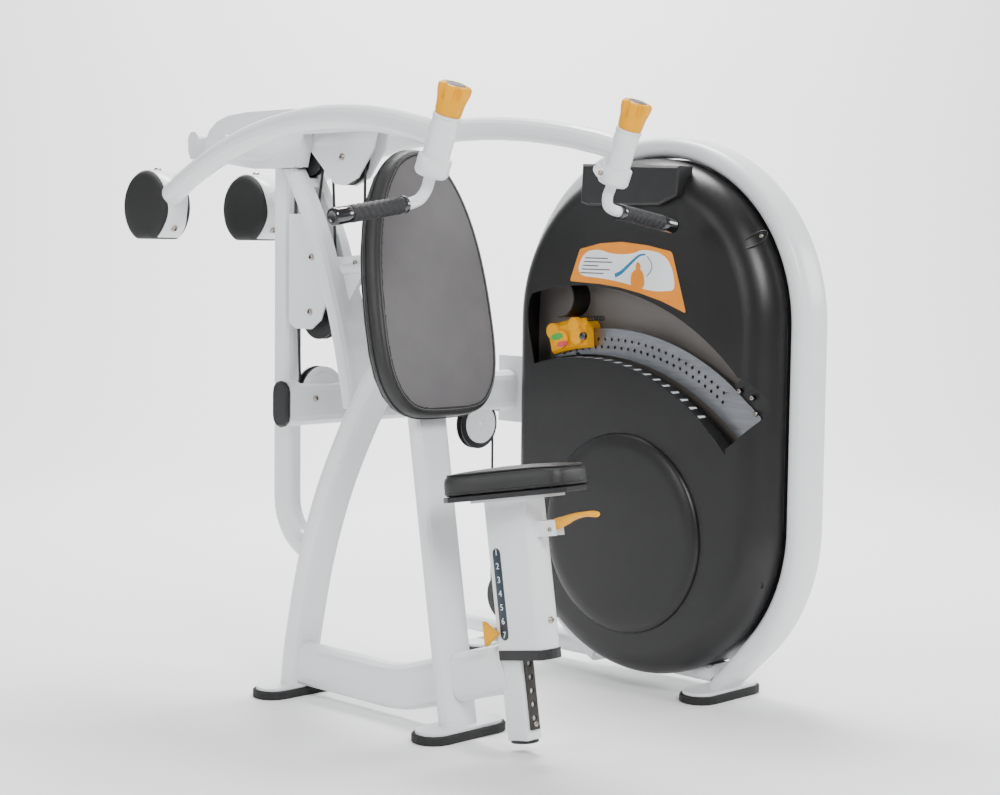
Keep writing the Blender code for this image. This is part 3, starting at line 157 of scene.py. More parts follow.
def printed(name, colour, roughness=0.4, variation=0.05, patch=30.0):
    return material("printed_" + name, colour, roughness, variation=variation, patch=patch, grain=0.05)


WHITE = material("white_powder_coat", (0.8, 0.82, 0.835), 0.34, variation=0.02, patch=5.0, grain=0.1,
                 grain_scale=900.0, edge=0.0015, coat=0.15)
RUBBER = material("black_rubber", (0.01, 0.01, 0.01), 0.72, variation=0.25, patch=30.0, grain=0.35,
                  grain_scale=1100.0, edge=0.0012)
PLASTIC = material("black_plastic", (0.011, 0.011, 0.012), 0.42, variation=0.15, patch=20.0, grain=0.3,
                   grain_scale=1300.0, edge=0.001)
COVER = material("smoked_cover", (0.0065, 0.006, 0.0065), 0.36, variation=0.12, patch=4.0, grain=0.22,
                 grain_scale=1500.0, shine=0.45)
LINER = material("grey_liner", (0.165, 0.148, 0.135), 0.5, variation=0.1, patch=4.0, grain=0.12)
YELLOW = material("yellow_plastic", (0.82, 0.36, 0.0), 0.3, variation=0.05, patch=25.0, grain=0.12,
                  grain_scale=900.0, edge=0.001, shine=0.14)
VINYL = material("black_vinyl", (0.013, 0.013, 0.0135), 0.42, variation=0.12, patch=14.0, grain=0.55,
                 grain_scale=620.0, cells=True, uneven=0.08)
PANEL = material("grey_panel_vinyl", (0.115, 0.11, 0.113), 0.52, variation=0.07, patch=18.0, grain=0.6,
                 grain_scale=520.0, cells=True, shine=0.45)
THREAD = material("grey_thread", (0.22, 0.22, 0.22), 0.6, variation=0.2, patch=300.0, grain=0.4)
PIPING = material("vinyl_piping", (0.012, 0.012, 0.012), 0.38, variation=0.12, patch=40.0, grain=0.4,
                  grain_scale=900.0, cells=True)
STEEL = material("brushed_steel", (0.27, 0.28, 0.3), 0.3, metallic=1.0, variation=0.12, patch=14.0,
                 grain=0.3, grain_scale=240.0, stretch=(1.0, 1.0, 9.0), edge=0.0006)
BOLTS = material("bolt_steel", (0.4, 0.36, 0.33), 0.26, metallic=1.0, variation=0.2, patch=120.0,
                 grain=0.15, grain_scale=900.0)
DARK_STEEL = material("dark_steel", (0.07, 0.065, 0.06), 0.38, metallic=0.85, variation=0.25, patch=40.0,
                      grain=0.3, grain_scale=500.0)
CHROME = material("dark_chrome", (0.11, 0.11, 0.115), 0.16, metallic=1.0, variation=0.1, patch=60.0,
                  grain=0.05, edge=0.0006, uneven=0.04)
GRIP = material("grip_rubber", (0.012, 0.012, 0.014), 0.55, variation=0.2, patch=60.0, grain=0.45,
                grain_scale=1200.0, cells=True)
CABLE = material("coated_cable", (0.01, 0.01, 0.01), 0.4, variation=0.15, patch=80.0, grain=0.5,
                 grain_scale=900.0)
PRINT_WHITE = printed("white", (0.8, 0.82, 0.83), variation=0.02)
PRINT_ORANGE = printed("orange", (0.8, 0.25, 0.0), 0.45, variation=0.04)
PRINT_BLUE = printed("blue", (0.0, 0.17, 0.36))
PRINT_GREY = printed("grey", (0.1, 0.11, 0.12), 0.45)
PRINT_GREEN = printed("green", (0.05, 0.35, 0.05), patch=40.0)
PRINT_RED = printed("red", (0.6, 0.05, 0.06), patch=40.0)
NUMBER_STRIP = material("strip_blue_black", (0.016, 0.03, 0.045), 0.42, variation=0.08, patch=30.0,
                        grain=0.1)

CAD_FINISH = {
    WHITE: ("front_column", "rear_leg", "upper_column", "rear_upright", "base_rail", "seat_post_stub",
            "seat_post", "lateral_beam", "tower_flange", "pivot_head", "pulley_bracket", "backrest_strut",
            "tower_base_rail", "arm_yoke", "pulley_housing", "left_arm", "right_arm", "seat_carriage"),
    RUBBER: ("front_foot_pad", "rear_foot_pad", "tower_front_foot_pad", "tower_rear_foot_pad"),
    PLASTIC: ("beam_end_cap", "arm_pulley", "top_pulley", "mid_pulley", "beam_pulley", "drop_pulley",
              "low_pulley",
              "guide_pulley", "backrest_board", "seat_board", "carriage_trim", "badge_housing",
              "rail_end_plate", "scale_ledge"),
    LINER: ("tower_liner",),
    YELLOW: ("selector_carriage",),
    STEEL: ("pivot_shaft", "weight_pendulum"),
    DARK_STEEL: ("seat_rack",),
    CABLE: ("cable_main", "cable_selector_strand", "cable_arm_loop"),
}


def paint_cad():
    for finish, nodes in CAD_FINISH.items():
        for node in nodes:
            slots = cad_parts[node].material_slots
            for index in range(len(slots)):
                slots[index].link = "OBJECT"
                slots[index].material = finish


# ---- shapes ----
def turns(count):
    """Angles of even steps round a full circle."""
    return [2.0 * pi * index / count for index in range(count)]


def arc(start, end, steps):
    """Angles in radians from start to end, which are in degrees."""
    return [radians(start + (end - start) * step / steps) for step in range(steps + 1)]


def circle(centre, side, other, radius, sides):
    return [centre + (side * cos(turn) + other * sin(turn)) * radius for turn in turns(sides)]


def heading(path, index):
    """Direction of an open path at one of its points."""
    return (path[min(index + 1, len(path) - 1)] - path[max(index - 1, 0)]).normalized()


def signed_power(value, power):
    return copysign(abs(value) ** power, value)


def sheet_of(rings, closed=False, caps=True):
    """A bmesh skin through rings of equal length."""
    skin = bmesh.new()
    loops = [[skin.verts.new(point) for point in ring] for ring in rings]
    pairs = list(zip(loops, loops[1:]))
    if closed:
        pairs.append((loops[-1], loops[0]))
    for low, high in pairs:
        for index in range(len(low)):
            following = (index + 1) % len(low)
            skin.faces.new((low[index], low[following], high[following], high[index]))
    if caps and not closed:
        skin.faces.new(loops[0])
        skin.faces.new(loops[-1])
    bmesh.ops.recalc_face_normals(skin, faces=skin.faces)
    return skin


def add_object(name, data):
    made = bpy.data.objects.new(name, data)
    bpy.context.collection.objects.link(made)
    return made


def piece(name, skins, finish, body="machine_frame", replaces=(), angle=40.0):
    """One object made of several skins, riding on a body."""
    whole = bmesh.new()
    for skin in skins if isinstance(skins, list) else [skins]:
        part = bpy.data.meshes.new("part")
        skin.to_mesh(part)
        skin.free()
        whole.from_mesh(part)
        bpy.data.meshes.remove(part)
    mesh = bpy.data.meshes.new(name)
    whole.to_mesh(mesh)
    whole.free()
    mesh.shade_smooth()
    mesh.set_sharp_from_angle(angle=radians(angle))
    made = add_object(name, mesh)
    mesh.materials.append(finish)
    if body:
        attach(made, body)
    if replaces:
        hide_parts(*replaces)
    return made


def across(axis):
    side = axis.orthogonal().normalized()
    return side, axis.cross(side).normalized()


def turned(profile, centre, axis, sides=48):
    """Rings of a turned solid; profile is (radius, height along axis)."""
    side, other = across(axis)
    return [circle(centre + axis * height, side, other, radius, sides) for radius, height in profile]


def bolt(centre, axis, radius):
    """A button-head screw with a hexagon socket."""
    axis = axis.normalized()
    side, other = across(axis)
    rings = turned([(radius, -0.001), (radius, radius * 0.18), (radius * 0.92, radius * 0.42),
                    (radius * 0.72, radius * 0.62), (radius * 0.52, radius * 0.68)], centre, axis, 24)
    for height in (radius * 0.68, radius * 0.25):
        ring = []
        for turn in turns(24):
            reach = radius * 0.42 * cos(pi / 6) / cos(turn % (pi / 3) - pi / 6)
            ring.append(centre + axis * height + (side * cos(turn) + other * sin(turn)) * reach)
        rings.append(ring)
    return sheet_of(rings)


def sweep(path, radius, sides=16, side=X_AXIS):
    """Rings of a round tube along path; radius is a number or one for each point."""
    rings = []
    for index, point in enumerate(path):
        tangent = heading(path, index)
        side = (side - tangent * side.dot(tangent)).normalized()
        other = tangent.cross(side)
        reach = radius[index] if isinstance(radius, list) else radius
        rings.append(circle(point, side, other, reach, sides))
    return rings


def smooth_path(points, steps):
    """A Catmull-Rom curve through points."""
    ends = [points[0] * 2 - points[1]] + points + [points[-1] * 2 - points[-2]]
    path = []
    for index in range(1, len(ends) - 2):
        p0, p1, p2, p3 = ends[index - 1:index + 3]
        for step in range(steps):
            t = step / steps
            path.append(0.5 * (2 * p1 + (p2 - p0) * t + (2 * p0 - 5 * p1 + 4 * p2 - p3) * t * t
                               + (3 * p1 - p0 - 3 * p2 + p3) * t * t * t))
    path.append(points[-1])
    return path


def rounded(outline, rounds=2):
    """Corner-cutting that turns a polygon into a smooth closed outline."""
    for _ in range(rounds):
        finer = []
        for here, after in zip(outline, outline[1:] + outline[:1]):
            finer.append(tuple(0.75 * a + 0.25 * b for a, b in zip(here, after)))
            finer.append(tuple(0.25 * a + 0.75 * b for a, b in zip(here, after)))
        outline = finer
    return outline


def inset(outline, distance):
    """A closed outline moved inwards by distance, both ways round."""
    area = sum(a[0] * b[1] - b[0] * a[1] for a, b in zip(outline, outline[1:] + outline[:1]))
    turn = 1.0 if area > 0.0 else -1.0
    moved = []
    for index in range(len(outline)):
        before, after = outline[index - 1], outline[(index + 1) % len(outline)]
        along = Vector((after[0] - before[0], after[1] - before[1])).normalized()
        moved.append((outline[index][0] - along.y * distance * turn,
                      outline[index][1] + along.x * distance * turn))
    return moved


def layered(outline, levels, place):
    """Rings of a slab: levels are (inset, height), place turns (u, v, height) into a point."""
    return [[place(u, v, height) for u, v in inset(outline, shrink)] for shrink, height in levels]


def on_post(x, forward, up):
    return SEAT_ORIGIN + X_AXIS * x + POST_FORWARD * forward + POST_UP * up


def on_back(x, up, forward):
    return BACK_BOTTOM + X_AXIS * x + BACK_UP * up + BACK_FORWARD * forward


def hub_point(side, along):
    return Vector((side * HUB_CENTRE.x, HUB_CENTRE.y, HUB_CENTRE.z)) + HUB_UP * along


def arc_height(arc_data, y):
    centre_y, centre_z, radius = arc_data
    return centre_z + sqrt(radius ** 2 - (y - centre_y) ** 2)


def slab(outline, low_x, high_x):
    """A skin between two copies of an outline of (y, z)."""
    return sheet_of([[Vector((x, y, z)) for y, z in outline] for x in (low_x, high_x)])


def bead(name, path, radius, finish=PIPING, body="machine_frame", sides=8):
    """A round bead along a closed path."""
    piece(name, sheet_of(sweep_loop(path, radius, sides), closed=True), finish, body, angle=180.0)


def facing_plate(outline, low_x, high_x, bevel=0.0006):
    """A thin plate in the YZ plane whose face looks along -X."""
    levels = [(bevel, low_x), (0.0, low_x + bevel), (0.0, high_x)]
    return sheet_of(layered(outline, levels, lambda y, z, x: Vector((x, y, z))))


# ---- cushions ----
def stuffed(name, rings, held, body, node, panel=None):
    """A padded cover: the form is swollen as cloth where held(point) is false."""
    cushion = piece(name, sheet_of(rings), VINYL, None, angle=180.0)
    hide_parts(node)
    remesh = cushion.modifiers.new("Even", "REMESH")
    remesh.mode = "VOXEL"
    remesh.voxel_size = 0.005
    remesh.use_smooth_shade = True
    apply_modifiers(cushion)
    rest = [vertex.co.copy() for vertex in cushion.data.vertices]
    pins = cushion.vertex_groups.new(name="held")
    pins.add([index for index, point in enumerate(rest) if held(point)], 1.0, "REPLACE")
    cloth = cushion.modifiers.new("Cover", "CLOTH")
    cloth.settings.vertex_group_mass = "held"
    cloth.settings.use_pressure = True
    cloth.settings.uniform_pressure_force = 4.0
    cloth.settings.effector_weights.gravity = 0.0
    cloth.settings.quality = 6
    for number in range(1, 21):
        bpy.context.scene.frame_set(number)
    apply_modifiers(cushion)
    for vertex, point in zip(cushion.data.vertices, rest):
        moved = vertex.co - point
        if moved.length > SWELL_LIMIT:
            vertex.co = point + moved.normalized() * SWELL_LIMIT
    soften = cushion.modifiers.new("Soften", "SMOOTH")
    soften.iterations = 4
    finer = cushion.modifiers.new("Finer", "SUBSURF")
    finer.levels = finer.render_levels = 1
    apply_modifiers(cushion)
    cushion.data.shade_smooth()
    cushion.data.materials.clear()
    cushion.data.materials.append(VINYL)
    if panel:
        cushion.data.materials.append(PANEL)
        for polygon in cushion.data.polygons:
            polygon.material_index = 1 if panel(polygon.center) else 0
    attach(cushion, body)


def apply_modifiers(made):
    graph = bpy.context.evaluated_depsgraph_get()
    graph.update()
    result = bpy.data.meshes.new_from_object(made.evaluated_get(graph), preserve_all_data_layers=True,
                                             depsgraph=graph)
    made.modifiers.clear()
    made.data = result


def back_half_width(up):
    wide_at = 0.19
    if up < wide_at:
        part = 1.0 - up / wide_at
        return 0.06 + 0.123 * (1.0 - part ** 2.6) ** (1.0 / 2.2)
    part = (up - wide_at) / (BACK_LENGTH - wide_at)
    return 0.02 + 0.163 * (1.0 - part ** 2.6) ** (1.0 / 1.7)


def back_outline():
    levels = (0.0, 0.008, 0.025, 0.055, 0.1, 0.155, 0.23, 0.31, 0.39, 0.46, 0.52, 0.57, 0.605, BACK_LENGTH)
    right = [(back_half_width(level), level) for level in levels]
    return rounded(right + [(-x, level) for x, level in reversed(right)], 3)


def build_backrest():
    outline = back_outline()
    seam_inset, seam_height = 0.0145, 0.0225
    levels = [(0.006, -BACK_HALF), (0.001, -BACK_HALF + 0.005), (0.001, 0.002), (0.003, 0.012),
              (0.008, 0.0195), (seam_inset, seam_height), (0.022, 0.0245), (0.04, 0.026)]
    rings = layered(outline, levels, on_back)
    seam = layered(outline, [(seam_inset, seam_height)], on_back)[0]
    seam_spots = seam[::2]

    def held(point):
        forward = (point - BACK_BOTTOM).dot(BACK_FORWARD)
        return forward < 0.008 or min((point - spot).length_squared for spot in seam_spots) < 0.0055 ** 2

    inner = [point - BACK_BOTTOM for point in layered(outline, [(0.021, 0.0)], on_back)[0]]
    edge = [(point.x, point.dot(BACK_UP)) for point in inner]

    def on_panel(point):
        local = point - BACK_BOTTOM
        return local.dot(BACK_FORWARD) > 0.014 and inside(local.x, local.dot(BACK_UP), edge)

    stuffed("backrest_cushion", rings, held, "machine_frame", "backrest_pad", on_panel)
    lifted = [point + BACK_FORWARD * 0.0006 for point in seam]
    bead("backrest_piping", lifted, 0.0018)
    sewn = layered(outline, [(seam_inset + 0.0016, seam_height + 0.0014)], on_back)[0]
    bead("backrest_stitching", sewn, 0.0006, THREAD, sides=6)
    lower = layered(outline, [(-0.0002, -0.012)], on_back)[0]
    bead("backrest_edge_seam", lower, 0.0011)


def inside(u, v, outline):
    """Whether (u, v) lies inside a closed outline."""
    within = False
    for (u1, v1), (u2, v2) in zip(outline, outline[1:] + outline[:1]):
        if (v1 > v) != (v2 > v) and u < (u2 - u1) * (v - v1) / (v2 - v1) + u1:
            within = not within
    return within


def sweep_loop(path, radius, sides=8):
    """Rings of a round bead along a closed path."""
    rings = []
    count = len(path)
    middle = sum(path, Vector()) / count
    for index, point in enumerate(path):
        tangent = (path[(index + 1) % count] - path[index - 1]).normalized()
        out = point - middle
        side = (out - tangent * out.dot(tangent)).normalized()
        other = tangent.cross(side)
        rings.append(circle(point, side, other, radius, sides))
    return rings


def seat_outline():
    rear, front, wide, narrow = -0.06, 0.234, 0.136, 0.064
    half = [(rear, 0.1), (rear + 0.01, wide - 0.012), (rear + 0.036, wide), (0.02, wide - 0.006),
            (0.09, 0.106), (0.15, 0.08), (front - 0.034, narrow), (front - 0.009, narrow - 0.013),
            (front, narrow - 0.034)]
    return rounded(half + [(forward, -x) for forward, x in reversed(half)], 2)


def seat_drop(forward):
    """How far the seat's top falls away towards its front edge."""
    part = max(forward - 0.15, 0.0) / 0.084
    return 0.004 * part * part


def build_seat():
    outline = seat_outline()
    seam_inset = 0.009

    def place(forward, x, up):
        lowered = seat_drop(forward) * max(up - SEAT_PAD_LOW - 0.012, 0.0) / 0.04
        return on_post(x, forward, up - lowered)

    top = SEAT_PAD_HIGH
    levels = [(0.004, SEAT_PAD_LOW), (0.0, SEAT_PAD_LOW + 0.004), (0.0, top - 0.024), (0.002, top - 0.013),
              (seam_inset, top - 0.0055), (0.022, top - 0.002), (0.042, top - 0.0005)]
    rings = layered(outline, levels, place)
    seam = layered(outline, [(seam_inset, top - 0.0055)], place)[0]
    seam_spots = seam[::2]

    def held(point):
        up = (point - SEAT_ORIGIN).dot(POST_UP)
        nearest = min((point - spot).length_squared for spot in seam_spots)
        return up < SEAT_PAD_LOW + 0.016 or nearest < 0.005 ** 2

    stuffed("seat_cushion", rings, held, "seat", "seat_pad")
    lifted = [point + POST_UP * 0.0005 for point in seam]
    bead("seat_piping", lifted, 0.0016, body="seat")
    low = layered(outline, [(-0.0003, SEAT_PAD_LOW + 0.007)], place)[0]
    bead("seat_lower_seam", low, 0.0012, body="seat")


def build_lever():
    """The seat lever: a thick root at its pivot that flattens into a rounded paddle."""
    stations = [(0.139, 0.0085, 0.478, 0.007), (0.15, 0.0088, 0.48, 0.0105), (0.164, 0.0089, 0.482, 0.0125),
                (0.178, 0.011, 0.485, 0.012), (0.194, 0.0165, 0.489, 0.0095), (0.214, 0.021, 0.494, 0.007),
                (0.238, 0.0228, 0.498, 0.006), (0.26, 0.022, 0.499, 0.0056), (0.276, 0.018, 0.497, 0.005),
                (0.285, 0.011, 0.495, 0.004), (0.2885, 0.003, 0.494, 0.0015)]
    path = smooth_path([Vector((f, up, 0.0)) for f, _, up, _ in stations], 4)
    sizes = smooth_path([Vector((half, thick, 0.0)) for _, half, _, thick in stations], 4)
    rings = []
    for spot, size in zip(path, sizes):
        ring = []
        for turn in turns(32):
            x = size.x * signed_power(cos(turn), 0.7)
            up = size.y * signed_power(sin(turn), 0.8)
            dish = 0.0022 * (x / max(size.x, 0.001)) ** 2 if spot.x > 0.2 else 0.0
            ring.append(on_post(x, spot.x, spot.y + up + dish))
        rings.append(ring)
    piece("lever_paddle", sheet_of(rings), YELLOW, "lever", ("seat_lever",), angle=180.0)
    pins = [bolt(on_post(side * 0.0142, 0.157, 0.472), X_AXIS * side, 0.0055) for side in (-1.0, 1.0)]
    piece("lever_pins", pins, BOLTS, "seat")


# ---- grips and knobs ----
def chevron(turn, along):
    """Relief of the grip sleeve: diagonal bars that meet in rows of chevrons."""
    slant = abs((turn / pi) % 1.0 - 0.5) * 2.0
    wave = sin(2.0 * pi * (along * 62.0 + slant * 0.9))
    return 0.0011 * max(0.0, min(1.0, wave * 2.2 + 0.6))


def build_handle(label, side):
    foot = hub_point(side, -0.125)
    start = Vector((side * 0.332, foot.y + 0.01, foot.z - 0.0306))
    end = Vector((side * 0.528, foot.y + 0.008, foot.z - 0.06))
    axis = (end - start).normalized()
    bend = smooth_path([
        hub_point(side, -0.07), hub_point(side, -0.1), foot + Vector((0.0, 0.0, 0.002)),
        Vector((side * (HUB_CENTRE.x + 0.01), foot.y + 0.007, foot.z - 0.017)),
        Vector((side * (HUB_CENTRE.x + 0.028), foot.y + 0.01, foot.z - 0.026)), start,
        start + axis * 0.02,
    ], 5)
    body = label + "_handle_body"
    piece(label + "_handle_stem", sheet_of(sweep(bend, STEM_RADIUS, 24)), WHITE, body, (label + "_handle",))
    collar = [(0.0128, 0.0), (0.0178, 0.0005), (0.019, 0.003), (0.019, 0.009), (0.0172, 0.011),
              (0.0172, 0.016)]
    piece(label + "_grip_collar", sheet_of(turned(collar, start, axis)), CHROME, body)
    length = (end - start).length
    side_u, side_v = across(axis)
    rings = []
    low, high = 0.013, length - 0.045
    for step in range(91):
        along = low + (high - low) * step / 90
        edge = 0.0185 - 0.0022 * max(0.0, 1.0 - min(along - low, high - along) / 0.003)
        plain = min(along - low, high - along) < 0.009
        rings.append([
            start + axis * along + (side_u * cos(turn) + side_v * sin(turn))
            * (edge - (0.0 if plain else 0.0011 - chevron(turn, along)))
            for turn in turns(72)
        ])
    piece(label + "_grip_sleeve", sheet_of(rings), GRIP, body, angle=60.0)
    cap = [(0.0165, length - 0.046), (0.0178, length - 0.044), (0.0182, length - 0.03),
           (0.0186, length - 0.008), (0.0186, length - 0.003), (0.017, length), (0.012, length + 0.0006),
           (0.0105, length - 0.0006), (0.002, length - 0.0006)]
    piece(label + "_grip_end_cap", sheet_of(turned(cap, start, axis)), CHROME, body)


def build_knob(label, side):
    """A fluted knob: plain and round below, six scallops above, with a black disc on top."""
    side_v = HUB_UP.cross(X_AXIS)
    base = 0.0405
    profile = ((0.0262, 0.0, 0.0), (0.0275, 0.002, 0.0), (0.029, 0.01, 0.0), (0.03, 0.024, 0.0),
               (0.0308, 0.03, 0.001), (0.0318, 0.034, 0.0058), (0.0334, 0.04, 0.0082),
               (0.035, 0.048, 0.0096), (0.0358, 0.056, 0.01), (0.0355, 0.0595, 0.0096),
               (0.0335, 0.0625, 0.008), (0.029, 0.0645, 0.0038), (0.0235, 0.0655, 0.0004),
               (0.0215, 0.065, 0.0), (0.021, 0.064, 0.0))
    rings = []
    for radius, along, depth in profile:
        ring = []
        for turn in turns(96):
            reach = radius - depth * max(0.0, cos(6.0 * turn)) ** 0.8
            ring.append(hub_point(side, base + along) + (X_AXIS * cos(turn) + side_v * sin(turn)) * reach)
        rings.append(ring)
    body = label + "_knob_body"
    piece(label + "_knob_fluted", sheet_of(rings), YELLOW, body, (label + "_knob",), angle=55.0)
    disc = [(0.0208, 0.1044), (0.0206, 0.1058), (0.0196, 0.1062), (0.015, 0.1064), (0.0146, 0.106),
            (0.0132, 0.106), (0.0128, 0.1064), (0.001, 0.1066)]
    piece(label + "_knob_disc", sheet_of(turned(disc, hub_point(side, 0.0), HUB_UP)), PLASTIC, body)


def build_hub_clamp(label, side):
    """The split ring under the hub, with an ear and its screw at the inner rear."""
    ring = [(0.029, -0.0495), (0.0352, -0.0512), (0.0362, -0.0535), (0.0362, -0.0845), (0.035, -0.087),
            (0.032, -0.0915), (0.026, -0.093), (0.0135, -0.0932)]
    skins = [sheet_of(turned(ring, hub_point(side, 0.0), HUB_UP, 64))]
    lip = [(0.0285, 0.033), (0.0304, 0.0345), (0.0304, 0.0395), (0.0285, 0.0402)]
    skins.append(sheet_of(turned(lip, hub_point(side, 0.0), HUB_UP, 64)))
    out = Vector((-side * 0.78, 0.6, 0.0))
    out = (out - HUB_UP * out.dot(HUB_UP)).normalized()
    tangent = HUB_UP.cross(out).normalized() * side
    ear = hub_point(side, -0.069) + out * 0.0375
    profile = [(0.0105, -0.0165), (0.0122, -0.015), (0.0122, 0.015), (0.0105, 0.0165), (0.0075, 0.0165)]
    skins.append(sheet_of(turned(profile, ear, tangent, 32)))
    piece(label + "_hub_clamp", skins, WHITE, "press_arms")
    screws = [bolt(ear + tangent * 0.015, tangent, 0.0068), bolt(ear - tangent * 0.015, -tangent, 0.0068)]
    piece(label + "_hub_screw", screws, BOLTS, "press_arms")


# ---- counterweights ----
def weight_ring(centre, x, radius, flat):
    """A circle about X whose underside is cut off at flat."""
    return [centre + Vector((x, radius * cos(turn), max(radius * sin(turn), -flat))) for turn in turns(72)]


def build_counterweight(label, side):
    """A black drum with domed ends, gripped by a white saddle with two screws."""
    centre = Vector((side * WEIGHT_CENTRE.x, WEIGHT_CENTRE.y, WEIGHT_CENTRE.z))
    radius, flat, half = 0.09, 0.082, 0.0485
    steps = ((0.3, 0.0006), (0.62, 0.0), (0.8, -0.0012), (0.9, -0.0038), (0.96, -0.008), (0.99, -0.0125),
             (1.0, -0.0165))
    offsets = [(scale, -half - edge) for scale, edge in steps]
    offsets += [(scale, half + edge) for scale, edge in reversed(steps)]
    rings = [weight_ring(centre, x, radius * scale, flat * scale) for scale, x in offsets]
    piece(label + "_weight_drum", sheet_of(rings), RUBBER, "press_arms",
          (label + "_counterweight",), angle=50.0)
    rings = []
    for step, turn in enumerate(arc(237.0, -57.0, 48)):
        from_end = min(step, 48 - step) / 48
        width = 0.0325 - 0.0045 * exp(-((from_end - 0.16) / 0.07) ** 2)
        out = Vector((0.0, cos(turn), sin(turn)))
        rings.append([centre + X_AXIS * x + out * r for x, r in
                      ((-width, 0.0902), (-width, 0.0922), (-width + 0.001, 0.093), (width - 0.001, 0.093),
                       (width, 0.0922), (width, 0.0902))])
    piece(label + "_weight_saddle", sheet_of(rings), WHITE, "press_arms")
    screws = []
    for turn in (92.0, 216.0, -36.0):
        out = Vector((0.0, cos(radians(turn)), sin(radians(turn))))
        screws.append(bolt(centre + out * 0.0928, out, 0.0095))
    piece(label + "_weight_screws", screws, BOLTS, "press_arms")


# ---- tower ----
def arc_strip(inner, outer, front, rear, nose=(), steps=40):
    ys = [front + (rear - front) * step / steps for step in range(steps + 1)]
    outline = list(nose) + [(y, arc_height(inner, y)) for y in ys]
    return outline + [(y, arc_height(outer, y)) for y in reversed(ys)]


def tower_outline():
    """Each point of the stadium round the tower, as (cos, sin, height of its arc's centre)."""
    return [(cos(turn), sin(turn), centre_z)
            for centre_z, start in ((HOOP_HIGH_Z, 0.0), (HOOP_LOW_Z, 180.0))
            for turn in arc(start, start + 180.0, 64)]


def cover_rings(face_x, back_x, radius, front_round, rear_round, direction, steps=10):
    """Rings of a stadium cup from its face to its rim, with a rounding that differs fore and aft."""
    rings = []
    for step in range(steps + 2):
        angle = radians(90.0 * min(step, steps) / steps)
        ring = []
        for out_y, out_z, centre_z in tower_outline():
            rounding = front_round + (rear_round - front_round) * (0.5 + 0.5 * out_y) ** 2
            reach = radius - rounding * (1.0 - sin(angle))
            x = back_x if step > steps else face_x + direction * rounding * (1.0 - cos(angle))
            ring.append(Vector((x, TOWER_Y + out_y * reach, centre_z + out_z * reach)))
        rings.append(ring)
    return rings


def cover_skin(face_x, back_x, direction, front_round, rear_round, wall=0.005):
    outer = cover_rings(face_x, back_x, COVER_RADIUS, front_round, rear_round, direction)
    inner = cover_rings(face_x + direction * wall, back_x, COVER_RADIUS - wall, front_round - wall,
                        rear_round - wall, direction)
    return sheet_of(outer + inner[::-1])


def window_outline():
    rear, front_top, front_low, steps = 0.385, -0.3, -0.268, 40
    upper = [rear + (front_top - rear) * step / steps for step in range(steps + 1)]
    lower = [front_low + (0.375 - front_low) * step / steps for step in range(steps + 1)]
    front = [(-0.33, 0.806), (-0.356, 0.782), (-0.374, 0.75), (-0.366, 0.724), (-0.302, 0.667),
             (-0.266, 0.64)]
    pocket = [(0.382, 0.85), (0.396, 0.9), (0.4, 0.955), (0.394, 0.985)]
    points = [(y, arc_height(WINDOW_ARC, y)) for y in upper] + rounded_open(front)
    return points + [(y, arc_height(LEDGE_ARC, y)) for y in lower] + rounded_open(pocket)


def rounded_open(points):
    finer = [points[0]]
    for here, after in zip(points, points[1:]):
        finer += [tuple(0.75 * a + 0.25 * b for a, b in zip(here, after)),
                  tuple(0.25 * a + 0.75 * b for a, b in zip(here, after))]
    return finer + [points[-1]]


def cut_away(made, skins, angle=28.0):
    """Takes the skins' volume out of a piece and sharpens the new edges."""
    finish = made.data.materials[0]
    cutter = piece("cut_tool", skins, finish, None)
    step = made.modifiers.new("Cut", "BOOLEAN")
    step.object = cutter
    step.solver = "EXACT"
    apply_modifiers(made)
    bpy.data.objects.remove(cutter, do_unlink=True)
    made.data.materials.clear()
    made.data.materials.append(finish)
    made.data.set_sharp_from_angle(angle=radians(angle))


def build_cover():
    """The tower's covers with their wide rounding, the weight bulge and the window."""
    front = piece("front_cover", cover_skin(COVER_X, 0.7035, 1.0, 0.078, 0.04), COVER, None)
    cut_away(front, slab(window_outline(), 0.58, 0.7))
    notch = [(0.18, 0.1), (0.46, 0.1), (0.46, 0.235), (0.18, 0.235)]
    cut_away(front, slab(notch, 0.656, 0.68))
    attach(front, "machine_frame")
    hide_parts("inner_shroud")
    profile = [(0.001, -0.016), (0.2, -0.016)]
    for turn in arc(0.0, 90.0, 8):
        profile.append((0.215 + 0.04 * sin(turn), -0.016 * cos(turn) ** 0.8))
    profile.append((0.2552, 0.003))
    bulge = turned(profile, Vector((COVER_X, 0.06, 0.4)), X_AXIS, 128)
    piece("weight_bulge", sheet_of(bulge), COVER)
    rear = piece("rear_cover", cover_skin(0.845, 0.7075, -1.0, 0.055, 0.055), COVER, None)
    below_rim = [(-0.6, -0.1), (0.9, -0.1), (0.9, 0.088), (-0.6, 0.088)]
    cut_away(rear, slab(below_rim, 0.7, 0.9))
    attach(rear, "machine_frame")
    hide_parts("outer_shroud")


